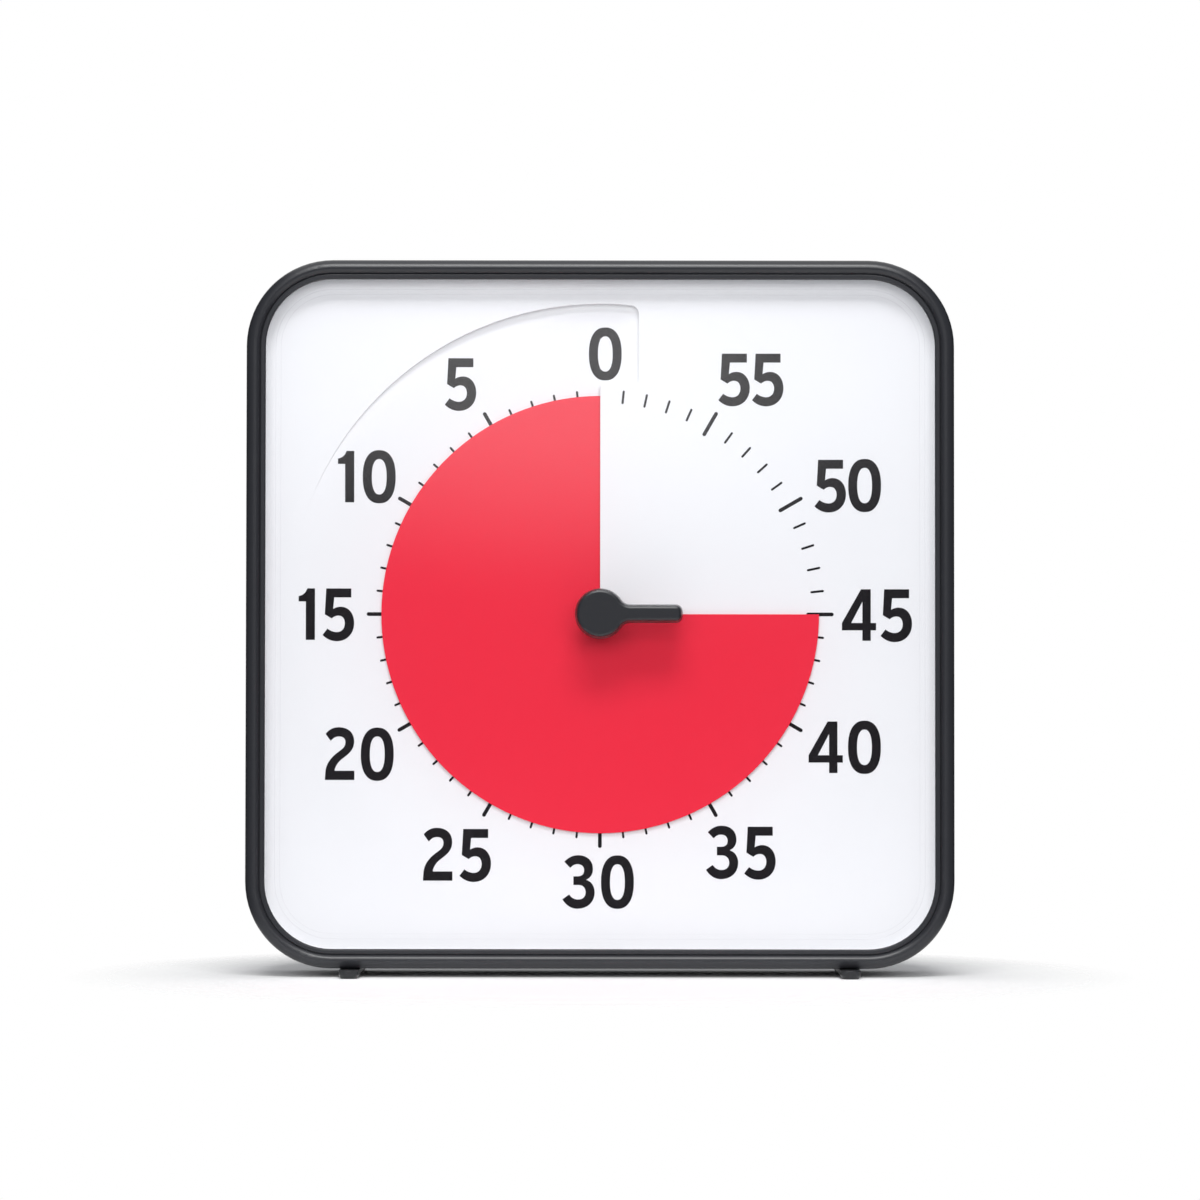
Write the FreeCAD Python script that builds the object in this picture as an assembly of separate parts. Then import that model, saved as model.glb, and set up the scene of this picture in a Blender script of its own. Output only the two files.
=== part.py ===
"""Visual countdown timer: a square black case with a clear front lens, a white moulded dial,
a coloured disc that winds out of a slit in the dial, a centre setting knob and a quartz drive.

Units are millimetres. X runs to the viewer's right, Y from front to back, Z up.
The origin lies under the middle of the timer, on the surface that it stands on.
Shapes are first made round the dial's axis (x = 0, z = 0) and lifted when they are written.
"""

import FreeCAD, Part
import math
import os

# Case
CASE_SIZE = 190.5
CASE_CORNER_R = 23.2
CASE_WALL = 2.2
FRONT_Y = -15.2
SPLIT_Y = -3.2
BACK_Y = 22.2
BACK_EDGE_R = 4.0
SPLIT_GROOVE = 0.5

# Front bezel
LIP_WIDTH = 5.2
ROLL_WIDTH = 3.75
ROLL_DROP = 3.0
GROOVE_DEPTH = 1.3
INNER_BAND_DROP = 0.85
LIP_EDGE_R = 0.3

# Snap beads that hold the bezel on the housing's tongue
BEAD_LENGTH = 14.0
BEAD_PROUD = 0.7
BEAD_HEIGHT = 1.2
BEAD_Y = -5.4
BEAD_AT = 45.0
BEAD_GAP = 0.2

# Lens
LENS_WALL = 1.3
LENS_Y = FRONT_Y + 2.0
LENS_RAISE = 0.8
LENS_INSET = 2.7
LENS_TAB_WIDTH = 12.0
LENS_TAB_DEPTH = 1.6
LENS_TAB_RAISE = 0.5
LENS_HOLE_R = 4.6

# Dial with its spiral ramp
DIAL_Y = -8.7
DIAL_PLATE = 1.6
DIAL_WALL = 0.8
RAMP_RISE = 2.0
RAMP_FLAT_DEG = 3.0
RAMP_SINK = 0.03
FLOOR_STEP = 0.05
DIAL_RIM_WALL = 2.0
RECESS_INSET = 11.25
RECESS_FADE_DEG = 80.0
RECESS_RIM = 1.2
WINDOW_RIGHT = 10.4
WINDOW_CORNER_R = 2.4
DISC_ZONE_MARGIN = 2.1
WINDOW_SILL = 1.0
DIAL_HOLE_R = 5.6

# Coloured disc
DISC_R = 59.1
DISC_SHEET = 0.3
DISC_SET_DEG = 270.0
HUB_R = 5.0
HUB_MARGIN = 0.5
PRESS_GAP = 0.02

# Setting knob and spindle
KNOB_FRONT_Y = -22.2
KNOB_R = 6.8
KNOB_TAPER = 0.45
KNOB_EDGE_R = 0.75
HANDLE_REACH = 22.2
HANDLE_WIDTH = 5.0
HANDLE_NECK_R = 3.0
KNOB_LENS_GAP = 0.4
KNOB_STEM_R = 4.0
KNOB_STEM_PAST_LENS = 0.5
SPINDLE_R = 2.5
SPINDLE_FLAT = 2.0
SPINDLE_THIN_R = 1.25
SPINDLE_SEAT = 5.5
SLIDE_GAP = 0.05

# Quartz drive
DRIVE_HALF = 28.0
DRIVE_CORNER_R = 3.0
DRIVE_FRONT_Y = -3.0
DRIVE_DEPTH = 16.0
DRIVE_WALL = 1.2
DRIVE_PLATE = 1.4
EAR_R = 4.0
EAR_X = 33.0
EAR_Z = 22.0
ARBOR_R = 0.5
PIVOT_GAP = 0.05
WHEEL_THICK = 1.0
PINION_THICK = 1.4
PINION_TEETH = 8
CENTRE_TEETH = 64
THIRD_TEETH = 60
FOURTH_TEETH = 32
FIFTH_TEETH = 60
SLOW_MODULE = 0.35
MIDDLE_MODULE = 0.45
FAST_MODULE = 0.25
CENTRE_TO_THIRD_DEG = 60.0
THIRD_TO_FOURTH_DEG = 172.0
FOURTH_TO_FIFTH_DEG = 215.0
FIFTH_TO_ROTOR_DEG = 250.0
LAYER_FRONT_Y = -1.0
LAYER_STEP = 1.8
MAGNET_R = 3.0
MAGNET_THICK = 3.0
STATOR_THICK = 1.2
STATOR_GAP = 0.6
STATOR_ARM = 4.0
STATOR_BRIDGE = 3.0
STATOR_BRIDGE_DROP = 4.0
COIL_LENGTH = 20.0
COIL_R = 3.8
COIL_CORE_R = 1.6
COIL_FLANGE_R = 4.6
COIL_FLANGE = 1.0
COIL_Z = -17.5
BOARD_THICK = 1.0
BOARD_HALF_X = 22.0
BOARD_TOP_Z = -8.5
BOARD_BOTTOM_Z = -25.0
CHIP_X = 8.0
CHIP_Z = -15.0
CHIP_R = 3.2
CHIP_HEIGHT = 1.2
CRYSTAL_X = 12.0
CRYSTAL_LENGTH = 6.0
CRYSTAL_R = 1.0
CRYSTAL_LEADS = 1.5
CRYSTAL_DROP = 3.0
CAM_R = 5.0
CAM_THICK = 1.3
CAM_NOTCH = 1.2
LEAF_THICK = 0.3
LEAF_WIDTH = 1.3
PILLAR_R = 1.4

# Battery and its bay
CELL_R = 7.25
CELL_LENGTH = 50.5
CELL_NIPPLE_R = 2.75
CELL_NIPPLE = 1.0
CELL_RISE = 37.25
CELL_Y = 12.4
BAY_WALL = 1.6
BAY_SIDE_GAP = 0.75
BAY_END_GAP = 4.5
DOOR_THICK = 2.0
DOOR_MARGIN = 3.0
DOOR_GAP = 0.25
DOOR_LATCH_WIDTH = 12.0
CONTACT_THICK = 0.4
CONTACT_SIZE = 10.0
SPRING_WIRE_R = 0.35
SPRING_TURNS = 4
SPRING_R = 3.4

# Buzzer, sound switch and wall hanger
BUZZER_X = 42.0
BUZZER_Z = 42.0
BUZZER_R = 13.5
BUZZER_THICK = 0.5
BUZZER_RING = 1.2
BUZZER_STAND = 3.0
SLOT_COUNT = 5
SLOT_LENGTH = 14.0
SLOT_WIDTH = 1.4
SLOT_PITCH = 3.2
SWITCH_X = -42.0
SWITCH_Z = 42.0
SWITCH_TRAVEL = 3.0
SWITCH_CAP = 4.4
SWITCH_GAP = 0.3
SWITCH_BODY_X = 14.0
SWITCH_BODY_Z = 7.0
SWITCH_BODY_DEPTH = 5.0
SWITCH_BODY_GAP = 1.7
SWITCH_PEG_AT = 8.2
SWITCH_PEG_HALF = 1.8
KEYHOLE_DROP = 23.25
KEYHOLE_R = 4.5
KEYHOLE_SLOT = 4.4
KEYHOLE_RISE = 9.0

# Screws, screw posts and feet
POST_R = 4.0
POST_INSET = 21.25
SCREW_R = 1.4
SCREW_HEAD_R = 2.8
SCREW_HEAD = 1.8
SCREW_LENGTH = 9.0
DIAL_BOSS = 5.0
POST_WEB = 3.0
FOOT_HEIGHT = 2.4
FOOT_GAP = 0.15
FOOT_LENGTH = 43.6
FOOT_WIDTH = 5.4
FOOT_TAPER = 0.55
FOOT_INSET = 28.25
FOOT_Y = 0.0
PIVOT_R = 2.6
PIVOT_HEAD_R = 4.4
PIVOT_HEAD = 1.2
FOOT_PIVOT_GAP = 0.1

# Worked out from the sizes above
HALF = CASE_SIZE / 2
RECESS_R = HALF - RECESS_INSET
POST_XZ = HALF - POST_INSET
FOOT_X = HALF - FOOT_INSET
KEYHOLE_Z = HALF - KEYHOLE_DROP
CELL_Z = CELL_RISE - HALF
AXIS_Z = FOOT_HEIGHT + HALF
OPENING_HALF = HALF - LIP_WIDTH
OPENING_R = CASE_CORNER_R - LIP_WIDTH
INNER_HALF = HALF - CASE_WALL
INNER_R = CASE_CORNER_R - CASE_WALL
PANEL_CLEAR = 0.3
LENS_HALF = INNER_HALF - PANEL_CLEAR
LENS_R = INNER_R - PANEL_CLEAR
WINDOW_HALF = OPENING_HALF - LENS_INSET
WINDOW_R = OPENING_R - LENS_INSET
LENS_BACK_Y = LENS_Y + LENS_WALL
DIAL_DEEP = RAMP_RISE + DIAL_WALL + FLOOR_STEP
WINDOW_DEPTH = RAMP_RISE + RAMP_SINK + FLOOR_STEP
DIAL_BACK_Y = DIAL_Y + DIAL_PLATE
ZONE_R = DISC_R + DISC_ZONE_MARGIN
SILL_R = ZONE_R + WINDOW_SILL
DRIVE_BACK_Y = DRIVE_FRONT_Y + DRIVE_DEPTH
BACK_INNER_Y = BACK_Y - CASE_WALL
ROTOR_LAYER = 3
MAGNET_Y = LAYER_FRONT_Y + 4 * LAYER_STEP
STATOR_Y = MAGNET_Y + (MAGNET_THICK - STATOR_THICK) / 2
CAM_Y = STATOR_Y + STATOR_THICK + 0.4
RAMP_DEG = 360.0
GRID_DEG = 6.0
RAMP_ROWS = 18
RAMP_MARGIN = 3.0
RAMP_MARGIN_DEG = 0.6
OVERCUT = 10.0


def vec(x, y, z):
    return FreeCAD.Vector(x, y, z)


def box(x0, x1, y0, y1, z0, z1):
    return Part.makeBox(x1 - x0, y1 - y0, z1 - z0, vec(x0, y0, z0))


def rod(x, z, radius, y0, y1):
    """A cylinder along Y."""
    return Part.makeCylinder(radius, y1 - y0, vec(x, y0, z), vec(0, 1, 0))


def rounded_wire(half_x, half_z, corner, y, x=0.0, z=0.0):
    """A rounded rectangle in a plane of constant Y, as four lines and four arcs."""
    edges = []
    straight_x = half_x - corner
    straight_z = half_z - corner
    for quarter in range(4):
        start = math.radians(90 * quarter)
        sx = 1 if quarter in (0, 3) else -1
        sz = 1 if quarter in (0, 1) else -1
        centre = vec(x + sx * straight_x, y, z + sz * straight_z)
        points = []
        for share in (0.0, 0.5, 1.0):
            angle = start + share * math.pi / 2
            points.append(centre + vec(corner * math.cos(angle), 0, corner * math.sin(angle)))
        if edges:
            edges.append(Part.makeLine(edges[-1].Vertexes[-1].Point, points[0]))
        edges.append(Part.Arc(*points).toShape())
    edges.append(Part.makeLine(edges[-1].Vertexes[-1].Point, edges[0].Vertexes[0].Point))
    return Part.Wire(edges)


def slab(half_x, half_z, corner, y0, y1, x=0.0, z=0.0):
    """A rounded rectangular plate from y0 back to y1."""
    return Part.Face(rounded_wire(half_x, half_z, corner, y0, x, z)).extrude(vec(0, y1 - y0, 0))


def swept_ring(make_profile, half, corner):
    """Sweeps a profile round a rounded square. make_profile(offset) gives its face in the plane
    x = 0, where z is measured inwards from the ring's outside as -z."""
    straight = half - corner
    side = make_profile(half)
    side.translate(vec(-straight, 0, 0))
    side = side.extrude(vec(2 * straight, 0, 0))
    bend = make_profile(corner)
    bend = bend.revolve(vec(0, 0, 0), vec(0, 1, 0), 90)
    bend.translate(vec(straight, 0, straight))
    quarter = side.fuse(bend)
    ring = None
    for turn in range(4):
        part = quarter.copy()
        part.rotate(vec(0, 0, 0), vec(0, 1, 0), 90 * turn)
        ring = part if ring is None else ring.fuse(part)
    return ring.removeSplitter()


def level_point(radius, degrees, level):
    """A point on the dial: degrees run anticlockwise from the top as the viewer sees it,
    and level is the height in front of the dial's face."""
    angle = math.radians(degrees)
    return vec(-radius * math.sin(angle), DIAL_Y - level, radius * math.cos(angle))


def spiral_level(degrees):
    """The ramp under the disc: low just past the slit, level with the face after a full turn."""
    share = (degrees - RAMP_FLAT_DEG) / (RAMP_DEG - 2 * RAMP_FLAT_DEG)
    return -RAMP_RISE * (1 - min(1.0, max(0.0, share)))


def smooth(share):
    share = min(1.0, max(0.0, share))
    return share * share * (3 - 2 * share)


def dial_level(radius, degrees):
    """The dial's front face inside the recess: the spiral ramp, which runs out into the ring
    of numerals, where the recess fades away sooner."""
    inner = spiral_level(degrees) - RAMP_SINK
    outer = -RAMP_SINK - RAMP_RISE * (1 - smooth((degrees - RAMP_FLAT_DEG) / (RECESS_FADE_DEG - RAMP_FLAT_DEG)))
    return inner + (outer - inner) * smooth((radius - ZONE_R) / (RECESS_R - ZONE_R))


def ramp_face(radii, start, end, level):
    """A smooth face through a grid of radii and angles, at the height that level(r, deg) gives."""
    steps = max(4, round((end - start) / GRID_DEG))
    grid = []
    for radius in radii:
        row = []
        for i in range(steps + 1):
            degrees = start + (end - start) * i / steps
            row.append(level_point(radius, degrees, level(radius, degrees)))
        grid.append(row)
    surface = Part.BSplineSurface()
    surface.interpolate(grid)
    return surface.toShape()


def wedge(r0, r1, start, end, y0, y1):
    """A flat sector of a ring, from y0 to y1, between two angles of the dial."""
    middle = (start + end) / 2
    flat = DIAL_Y - y0
    outer = Part.Arc(*[level_point(r1, a, flat) for a in (start, middle, end)]).toShape()
    inner = Part.Arc(*[level_point(r0, a, flat) for a in (end, middle, start)]).toShape()
    edges = [
        outer,
        Part.makeLine(level_point(r1, end, flat), level_point(r0, end, flat)),
        inner,
        Part.makeLine(level_point(r0, start, flat), level_point(r1, start, flat)),
    ]
    return Part.Face(Part.Wire(edges)).extrude(vec(0, y1 - y0, 0))


def make_bezel():
    def profile(offset):
        def at(inward, y):
            return vec(0, y, offset - inward)

        crown = ROLL_WIDTH * 0.55
        groove_floor = FRONT_Y + GROOVE_DEPTH
        band_y = FRONT_Y + INNER_BAND_DROP
        edges = [
            Part.makeLine(at(0, SPLIT_Y - SPLIT_GROOVE), at(0, FRONT_Y + ROLL_DROP)),
            Part.Arc(
                at(0, FRONT_Y + ROLL_DROP), at(crown * 0.3, FRONT_Y + ROLL_DROP * 0.25), at(crown, FRONT_Y)
            ).toShape(),
            Part.Arc(
                at(crown, FRONT_Y),
                at(ROLL_WIDTH * 0.88, FRONT_Y + GROOVE_DEPTH * 0.38),
                at(ROLL_WIDTH, groove_floor),
            ).toShape(),
            Part.makeLine(at(ROLL_WIDTH, groove_floor), at(ROLL_WIDTH + 0.2, band_y)),
            Part.makeLine(at(ROLL_WIDTH + 0.2, band_y), at(LIP_WIDTH - LIP_EDGE_R, band_y)),
            Part.makeLine(at(LIP_WIDTH - LIP_EDGE_R, band_y), at(LIP_WIDTH, band_y + LIP_EDGE_R)),
            Part.makeLine(at(LIP_WIDTH, band_y + LIP_EDGE_R), at(LIP_WIDTH, LENS_Y)),
            Part.makeLine(at(LIP_WIDTH, LENS_Y), at(CASE_WALL, LENS_Y)),
            Part.makeLine(at(CASE_WALL, LENS_Y), at(CASE_WALL, SPLIT_Y)),
            Part.makeLine(at(CASE_WALL, SPLIT_Y), at(SPLIT_GROOVE, SPLIT_Y)),
            Part.makeLine(at(SPLIT_GROOVE, SPLIT_Y), at(SPLIT_GROOVE, SPLIT_Y - SPLIT_GROOVE)),
            Part.makeLine(at(SPLIT_GROOVE, SPLIT_Y - SPLIT_GROOVE), at(0, SPLIT_Y - SPLIT_GROOVE)),
        ]
        return Part.Face(Part.Wire(edges))

    return swept_ring(profile, HALF, CASE_CORNER_R).cut(snap_beads(BEAD_GAP))


def snap_beads(grow):
    """Two beads on each side of the housing's tongue; grown by grow they are the bezel's pockets."""
    beads = None
    base = INNER_HALF - PANEL_CLEAR
    for turn in range(4):
        for along in (-BEAD_AT, BEAD_AT):
            bead = box(
                along - BEAD_LENGTH / 2 - grow,
                along + BEAD_LENGTH / 2 + grow,
                BEAD_Y - BEAD_HEIGHT / 2 - grow,
                BEAD_Y + BEAD_HEIGHT / 2 + grow,
                base - 0.2,
                base + BEAD_PROUD + grow,
            )
            bead.rotate(vec(0, 0, 0), vec(0, 1, 0), 90 * turn)
            beads = bead if beads is None else beads.fuse(bead)
    return beads


def make_lens():
    """A clear cover with a clamped flange, a raised window and a tab at top and bottom."""
    lens = slab(LENS_HALF, LENS_HALF, LENS_R, LENS_Y, LENS_BACK_Y)
    raised = slab(WINDOW_HALF, WINDOW_HALF, WINDOW_R, LENS_Y - LENS_RAISE, LENS_BACK_Y)
    lens = lens.fuse(raised)
    inner_half = WINDOW_HALF - LENS_WALL
    inner_r = WINDOW_R - LENS_WALL
    lens = lens.cut(slab(inner_half, inner_half, inner_r, LENS_BACK_Y - LENS_RAISE, LENS_BACK_Y))
    for side in (1, -1):
        middle = side * (OPENING_HALF - LENS_TAB_DEPTH / 2 - 0.1)
        tab = box(
            -LENS_TAB_WIDTH / 2,
            LENS_TAB_WIDTH / 2,
            LENS_Y - LENS_TAB_RAISE,
            LENS_Y,
            middle - LENS_TAB_DEPTH / 2,
            middle + LENS_TAB_DEPTH / 2,
        )
        lens = lens.fuse(tab)
    lens = lens.cut(rod(0, 0, LENS_HOLE_R, LENS_Y - OVERCUT, LENS_BACK_Y + 1))
    return lens.removeSplitter()


def ramp_cutter(r0, r1, level, depth):
    """A block with the ramp as one face, a little larger all round than the ring that it cuts."""
    rows = round(RAMP_ROWS * (r1 - r0) / RECESS_R)
    radii = [r0 + (r1 + RAMP_MARGIN - r0) * i / rows for i in range(rows + 1)]
    face = ramp_face(radii, -RAMP_MARGIN_DEG, RAMP_DEG - 2 * RAMP_MARGIN_DEG, level)
    return face.extrude(vec(0, depth, 0))


def make_zero_window():
    """The flat pocket by the zero mark, which reaches to the right of the slit."""
    top = math.sqrt(RECESS_R**2 - WINDOW_RIGHT**2)
    bottom = math.sqrt(SILL_R**2 - WINDOW_RIGHT**2)
    block = box(0, WINDOW_RIGHT, DIAL_Y - 1, DIAL_Y + WINDOW_DEPTH, bottom - 1, top + 2)
    ring = rod(0, 0, RECESS_R, DIAL_Y - 1, DIAL_Y + WINDOW_DEPTH)
    ring = ring.cut(rod(0, 0, SILL_R, DIAL_Y - 2, DIAL_Y + WINDOW_DEPTH + 1))
    window = block.common(ring)
    corners = [
        e
        for e in window.Edges
        if all(abs(v.X - WINDOW_RIGHT) < 0.01 for v in e.Vertexes) and abs(e.tangentAt(e.FirstParameter).y) > 0.9
    ]
    return window.makeFillet(WINDOW_CORNER_R, corners)


def make_dial():
    """A moulded plate. The disc comes out through the slit at zero and rides in front of the
    ramp; the rest of it stays behind the same thin wall."""
    plate_half = LENS_HALF
    dial = slab(plate_half, plate_half, LENS_R, DIAL_Y, DIAL_BACK_Y)
    rim = slab(plate_half, plate_half, LENS_R, LENS_BACK_Y, DIAL_Y)
    rim_half = plate_half - DIAL_RIM_WALL
    rim = rim.cut(slab(rim_half, rim_half, LENS_R - DIAL_RIM_WALL, LENS_BACK_Y - 1, DIAL_Y + 1))
    dial = dial.fuse(rim)
    dial = dial.fuse(rod(0, 0, RECESS_R + RECESS_RIM, DIAL_Y, DIAL_Y + DIAL_DEEP))
    for sx in (1, -1):
        for sz in (1, -1):
            boss = rod(sx * POST_XZ, sz * POST_XZ, POST_R, DIAL_BACK_Y, DIAL_BACK_Y + DIAL_BOSS)
            hole = rod(sx * POST_XZ, sz * POST_XZ, SCREW_R, DIAL_BACK_Y + 0.2, DIAL_BACK_Y + DIAL_BOSS)
            dial = dial.fuse(boss).cut(hole)
    centre_r = DIAL_HOLE_R * 0.7
    end = RAMP_DEG - RAMP_FLAT_DEG
    front = ramp_cutter(centre_r, RECESS_R, dial_level, -OVERCUT)
    front = front.common(wedge(centre_r + 0.5, RECESS_R, 0, end, DIAL_Y - OVERCUT, DIAL_Y + OVERCUT))
    back = ramp_cutter(centre_r, ZONE_R, lambda r, a: spiral_level(a) - DIAL_WALL, OVERCUT)
    back = back.common(wedge(centre_r + 0.5, ZONE_R, 0, end, DIAL_Y - OVERCUT, DIAL_Y + OVERCUT))
    slit = wedge(centre_r + 0.5, ZONE_R, end, RAMP_DEG, DIAL_Y + DIAL_WALL, DIAL_Y + OVERCUT)
    dial = dial.cut(front).cut(make_zero_window()).cut(back).cut(slit)
    dial = dial.cut(rod(0, 0, DIAL_HOLE_R, DIAL_Y - OVERCUT, DIAL_Y + OVERCUT))
    return dial


def disc_level(degrees):
    """The coloured sheet's middle: half a pitch in front of the ramp's wall."""
    return -RAMP_RISE / 2 - DIAL_WALL / 2 + RAMP_RISE * degrees / RAMP_DEG


def make_disc():
    """One turn of a flat spiral stair without steps, joined from four quarter turns."""
    hidden = DISC_SET_DEG - RAMP_DEG
    radii = [HUB_R + PRESS_GAP + (DISC_R - HUB_R - PRESS_GAP) * i / 3 for i in range(4)]
    disc = None
    for quarter in range(4):
        start = hidden + quarter * RAMP_DEG / 4
        sheet = ramp_face(radii, start, start + RAMP_DEG / 4, lambda r, a: disc_level(a) - DISC_SHEET / 2)
        sheet = sheet.extrude(vec(0, -DISC_SHEET, 0))
        disc = sheet if disc is None else disc.fuse(sheet)
    return disc


def spindle_section(gap, y0, y1):
    """The spindle's round with two flats, from y0 to y1, grown by gap."""
    section = rod(0, 0, SPINDLE_R + gap, y0, y1)
    half = SPINDLE_FLAT + gap
    return section.common(box(-SPINDLE_R - 1, SPINDLE_R + 1, y0, y1, -half, half))


def make_hub():
    hidden = DISC_SET_DEG - RAMP_DEG
    front = DIAL_Y - disc_level(DISC_SET_DEG) - HUB_MARGIN
    back = DIAL_Y - disc_level(hidden) + HUB_MARGIN
    hub = rod(0, 0, HUB_R, front, back)
    return hub.cut(spindle_section(SLIDE_GAP, front - 1, back + 1))


def knob_outline(grow, y):
    """The knob's plan: a round head with a straight handle to the right, joined by fillets."""
    head = KNOB_R + grow
    half = HANDLE_WIDTH / 2 + grow
    end = HANDLE_REACH + grow
    neck = HANDLE_NECK_R - grow
    tip = half * 0.75
    reach = math.sqrt((head + neck) ** 2 - (half + neck) ** 2)
    centre_angle = math.atan2(half + neck, reach)
    touch = (head * math.cos(centre_angle), head * math.sin(centre_angle))
    middle = (-math.pi / 2 + centre_angle + math.pi) / 2 + math.pi
    bend = (reach + neck * math.cos(middle), half + neck + neck * math.sin(middle))

    def at(x, z):
        return vec(x, y, z)

    corner = tip * (1 - math.sqrt(0.5))
    edges = [
        Part.Arc(at(touch[0], touch[1]), at(-head, 0), at(touch[0], -touch[1])).toShape(),
        Part.Arc(at(touch[0], -touch[1]), at(bend[0], -bend[1]), at(reach, -half)).toShape(),
        Part.makeLine(at(reach, -half), at(end - tip, -half)),
        Part.Arc(at(end - tip, -half), at(end - corner, -half + corner), at(end, -half + tip)).toShape(),
        Part.makeLine(at(end, -half + tip), at(end, half - tip)),
        Part.Arc(at(end, half - tip), at(end - corner, half - corner), at(end - tip, half)).toShape(),
        Part.makeLine(at(end - tip, half), at(reach, half)),
        Part.Arc(at(reach, half), at(bend[0], bend[1]), at(touch[0], touch[1])).toShape(),
    ]
    return Part.Wire(edges)


def make_knob():
    back = LENS_Y - LENS_RAISE - KNOB_LENS_GAP
    shoulder = KNOB_FRONT_Y + KNOB_EDGE_R
    lower = Part.makeLoft([knob_outline(0, back), knob_outline(-KNOB_TAPER, shoulder)], True, True)
    half_edge = KNOB_EDGE_R * 0.35
    upper = Part.makeLoft(
        [
            knob_outline(-KNOB_TAPER, shoulder),
            knob_outline(-KNOB_TAPER - half_edge, KNOB_FRONT_Y + half_edge),
            knob_outline(-KNOB_TAPER - KNOB_EDGE_R, KNOB_FRONT_Y),
        ],
        True,
        True,
    )
    stem_end = LENS_BACK_Y + KNOB_STEM_PAST_LENS
    knob = lower.fuse(upper).fuse(rod(0, 0, KNOB_STEM_R, back - 1, stem_end))
    return knob.cut(spindle_section(PRESS_GAP, stem_end - SPINDLE_SEAT, stem_end + 1))


def make_spindle():
    """Flats for the knob and hub in front, a thin arbor through the drive behind."""
    front = LENS_BACK_Y + KNOB_STEM_PAST_LENS - SPINDLE_SEAT + 2 * PRESS_GAP
    collar_back = DRIVE_FRONT_Y - 0.3
    spindle = spindle_section(0, front, collar_back)
    spindle = spindle.fuse(rod(0, 0, SPINDLE_THIN_R, collar_back, DRIVE_BACK_Y - DRIVE_WALL / 2))
    return spindle


def gear(teeth, module, first_tooth_deg, x, z, y0, thickness, bore):
    """A wheel or pinion with straight-sided pointed teeth, thin enough to leave backlash."""
    pitch_r = teeth * module / 2
    small = teeth <= PINION_TEETH
    tip_r = pitch_r + module * (0.75 if small else 0.9)
    root_r = pitch_r - module * (1.3 if small else 1.2)
    step = 2 * math.pi / teeth
    at_root = step * (0.27 if small else 0.3)
    at_pitch = step * (0.17 if small else 0.19)
    at_tip = step * (0.06 if small else 0.08)
    points = []
    for tooth in range(teeth):
        middle = math.radians(first_tooth_deg) + tooth * step
        for radius, spread in (
            (root_r, -at_root),
            (pitch_r, -at_pitch),
            (tip_r, -at_tip),
            (tip_r, at_tip),
            (pitch_r, at_pitch),
            (root_r, at_root),
        ):
            angle = middle + spread
            points.append(vec(x + radius * math.cos(angle), y0, z + radius * math.sin(angle)))
    wheel = Part.Face(Part.makePolygon(points + [points[0]])).extrude(vec(0, thickness, 0))
    if bore:
        wheel = wheel.cut(rod(x, z, bore, y0 - 1, y0 + thickness + 1))
    return wheel


def polar(origin, distance, degrees):
    angle = math.radians(degrees)
    return origin[0] + distance * math.cos(angle), origin[1] + distance * math.sin(angle)


def mesh_distance(teeth, module):
    return (teeth + PINION_TEETH) * module / 2


CENTRE_AT = (0.0, 0.0)
THIRD_AT = polar(CENTRE_AT, mesh_distance(CENTRE_TEETH, SLOW_MODULE), CENTRE_TO_THIRD_DEG)
FOURTH_AT = polar(THIRD_AT, mesh_distance(THIRD_TEETH, SLOW_MODULE), THIRD_TO_FOURTH_DEG)
FIFTH_AT = polar(FOURTH_AT, mesh_distance(FOURTH_TEETH, MIDDLE_MODULE), FOURTH_TO_FIFTH_DEG)
ROTOR_AT = polar(FIFTH_AT, mesh_distance(FIFTH_TEETH, FAST_MODULE), FIFTH_TO_ROTOR_DEG)
ARBOR_PLACES = (THIRD_AT, FOURTH_AT, FIFTH_AT, ROTOR_AT)


def layer_y(layer):
    return LAYER_FRONT_Y + layer * LAYER_STEP


def arbor(place):
    return rod(place[0], place[1], ARBOR_R, DRIVE_FRONT_Y + 0.3, DRIVE_BACK_Y - DRIVE_WALL / 2)


def pinion(place, module, mate_deg, layer):
    """A pinion with a gap between teeth where it meets its wheel."""
    y0 = layer_y(layer) - (PINION_THICK - WHEEL_THICK) / 2
    first = mate_deg + 180 / PINION_TEETH
    return gear(PINION_TEETH, module, first, place[0], place[1], y0, PINION_THICK, 0)


def train_wheel(place, teeth, module, mate_deg, layer, pinion_module, pinion_mate_deg):
    """A wheel, its pinion one layer nearer the dial and their arbor, as one moulding."""
    wheel = gear(teeth, module, mate_deg, place[0], place[1], layer_y(layer), WHEEL_THICK, 0)
    small = pinion(place, pinion_module, pinion_mate_deg, layer - 1)
    return wheel.fuse(small).fuse(arbor(place))


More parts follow.
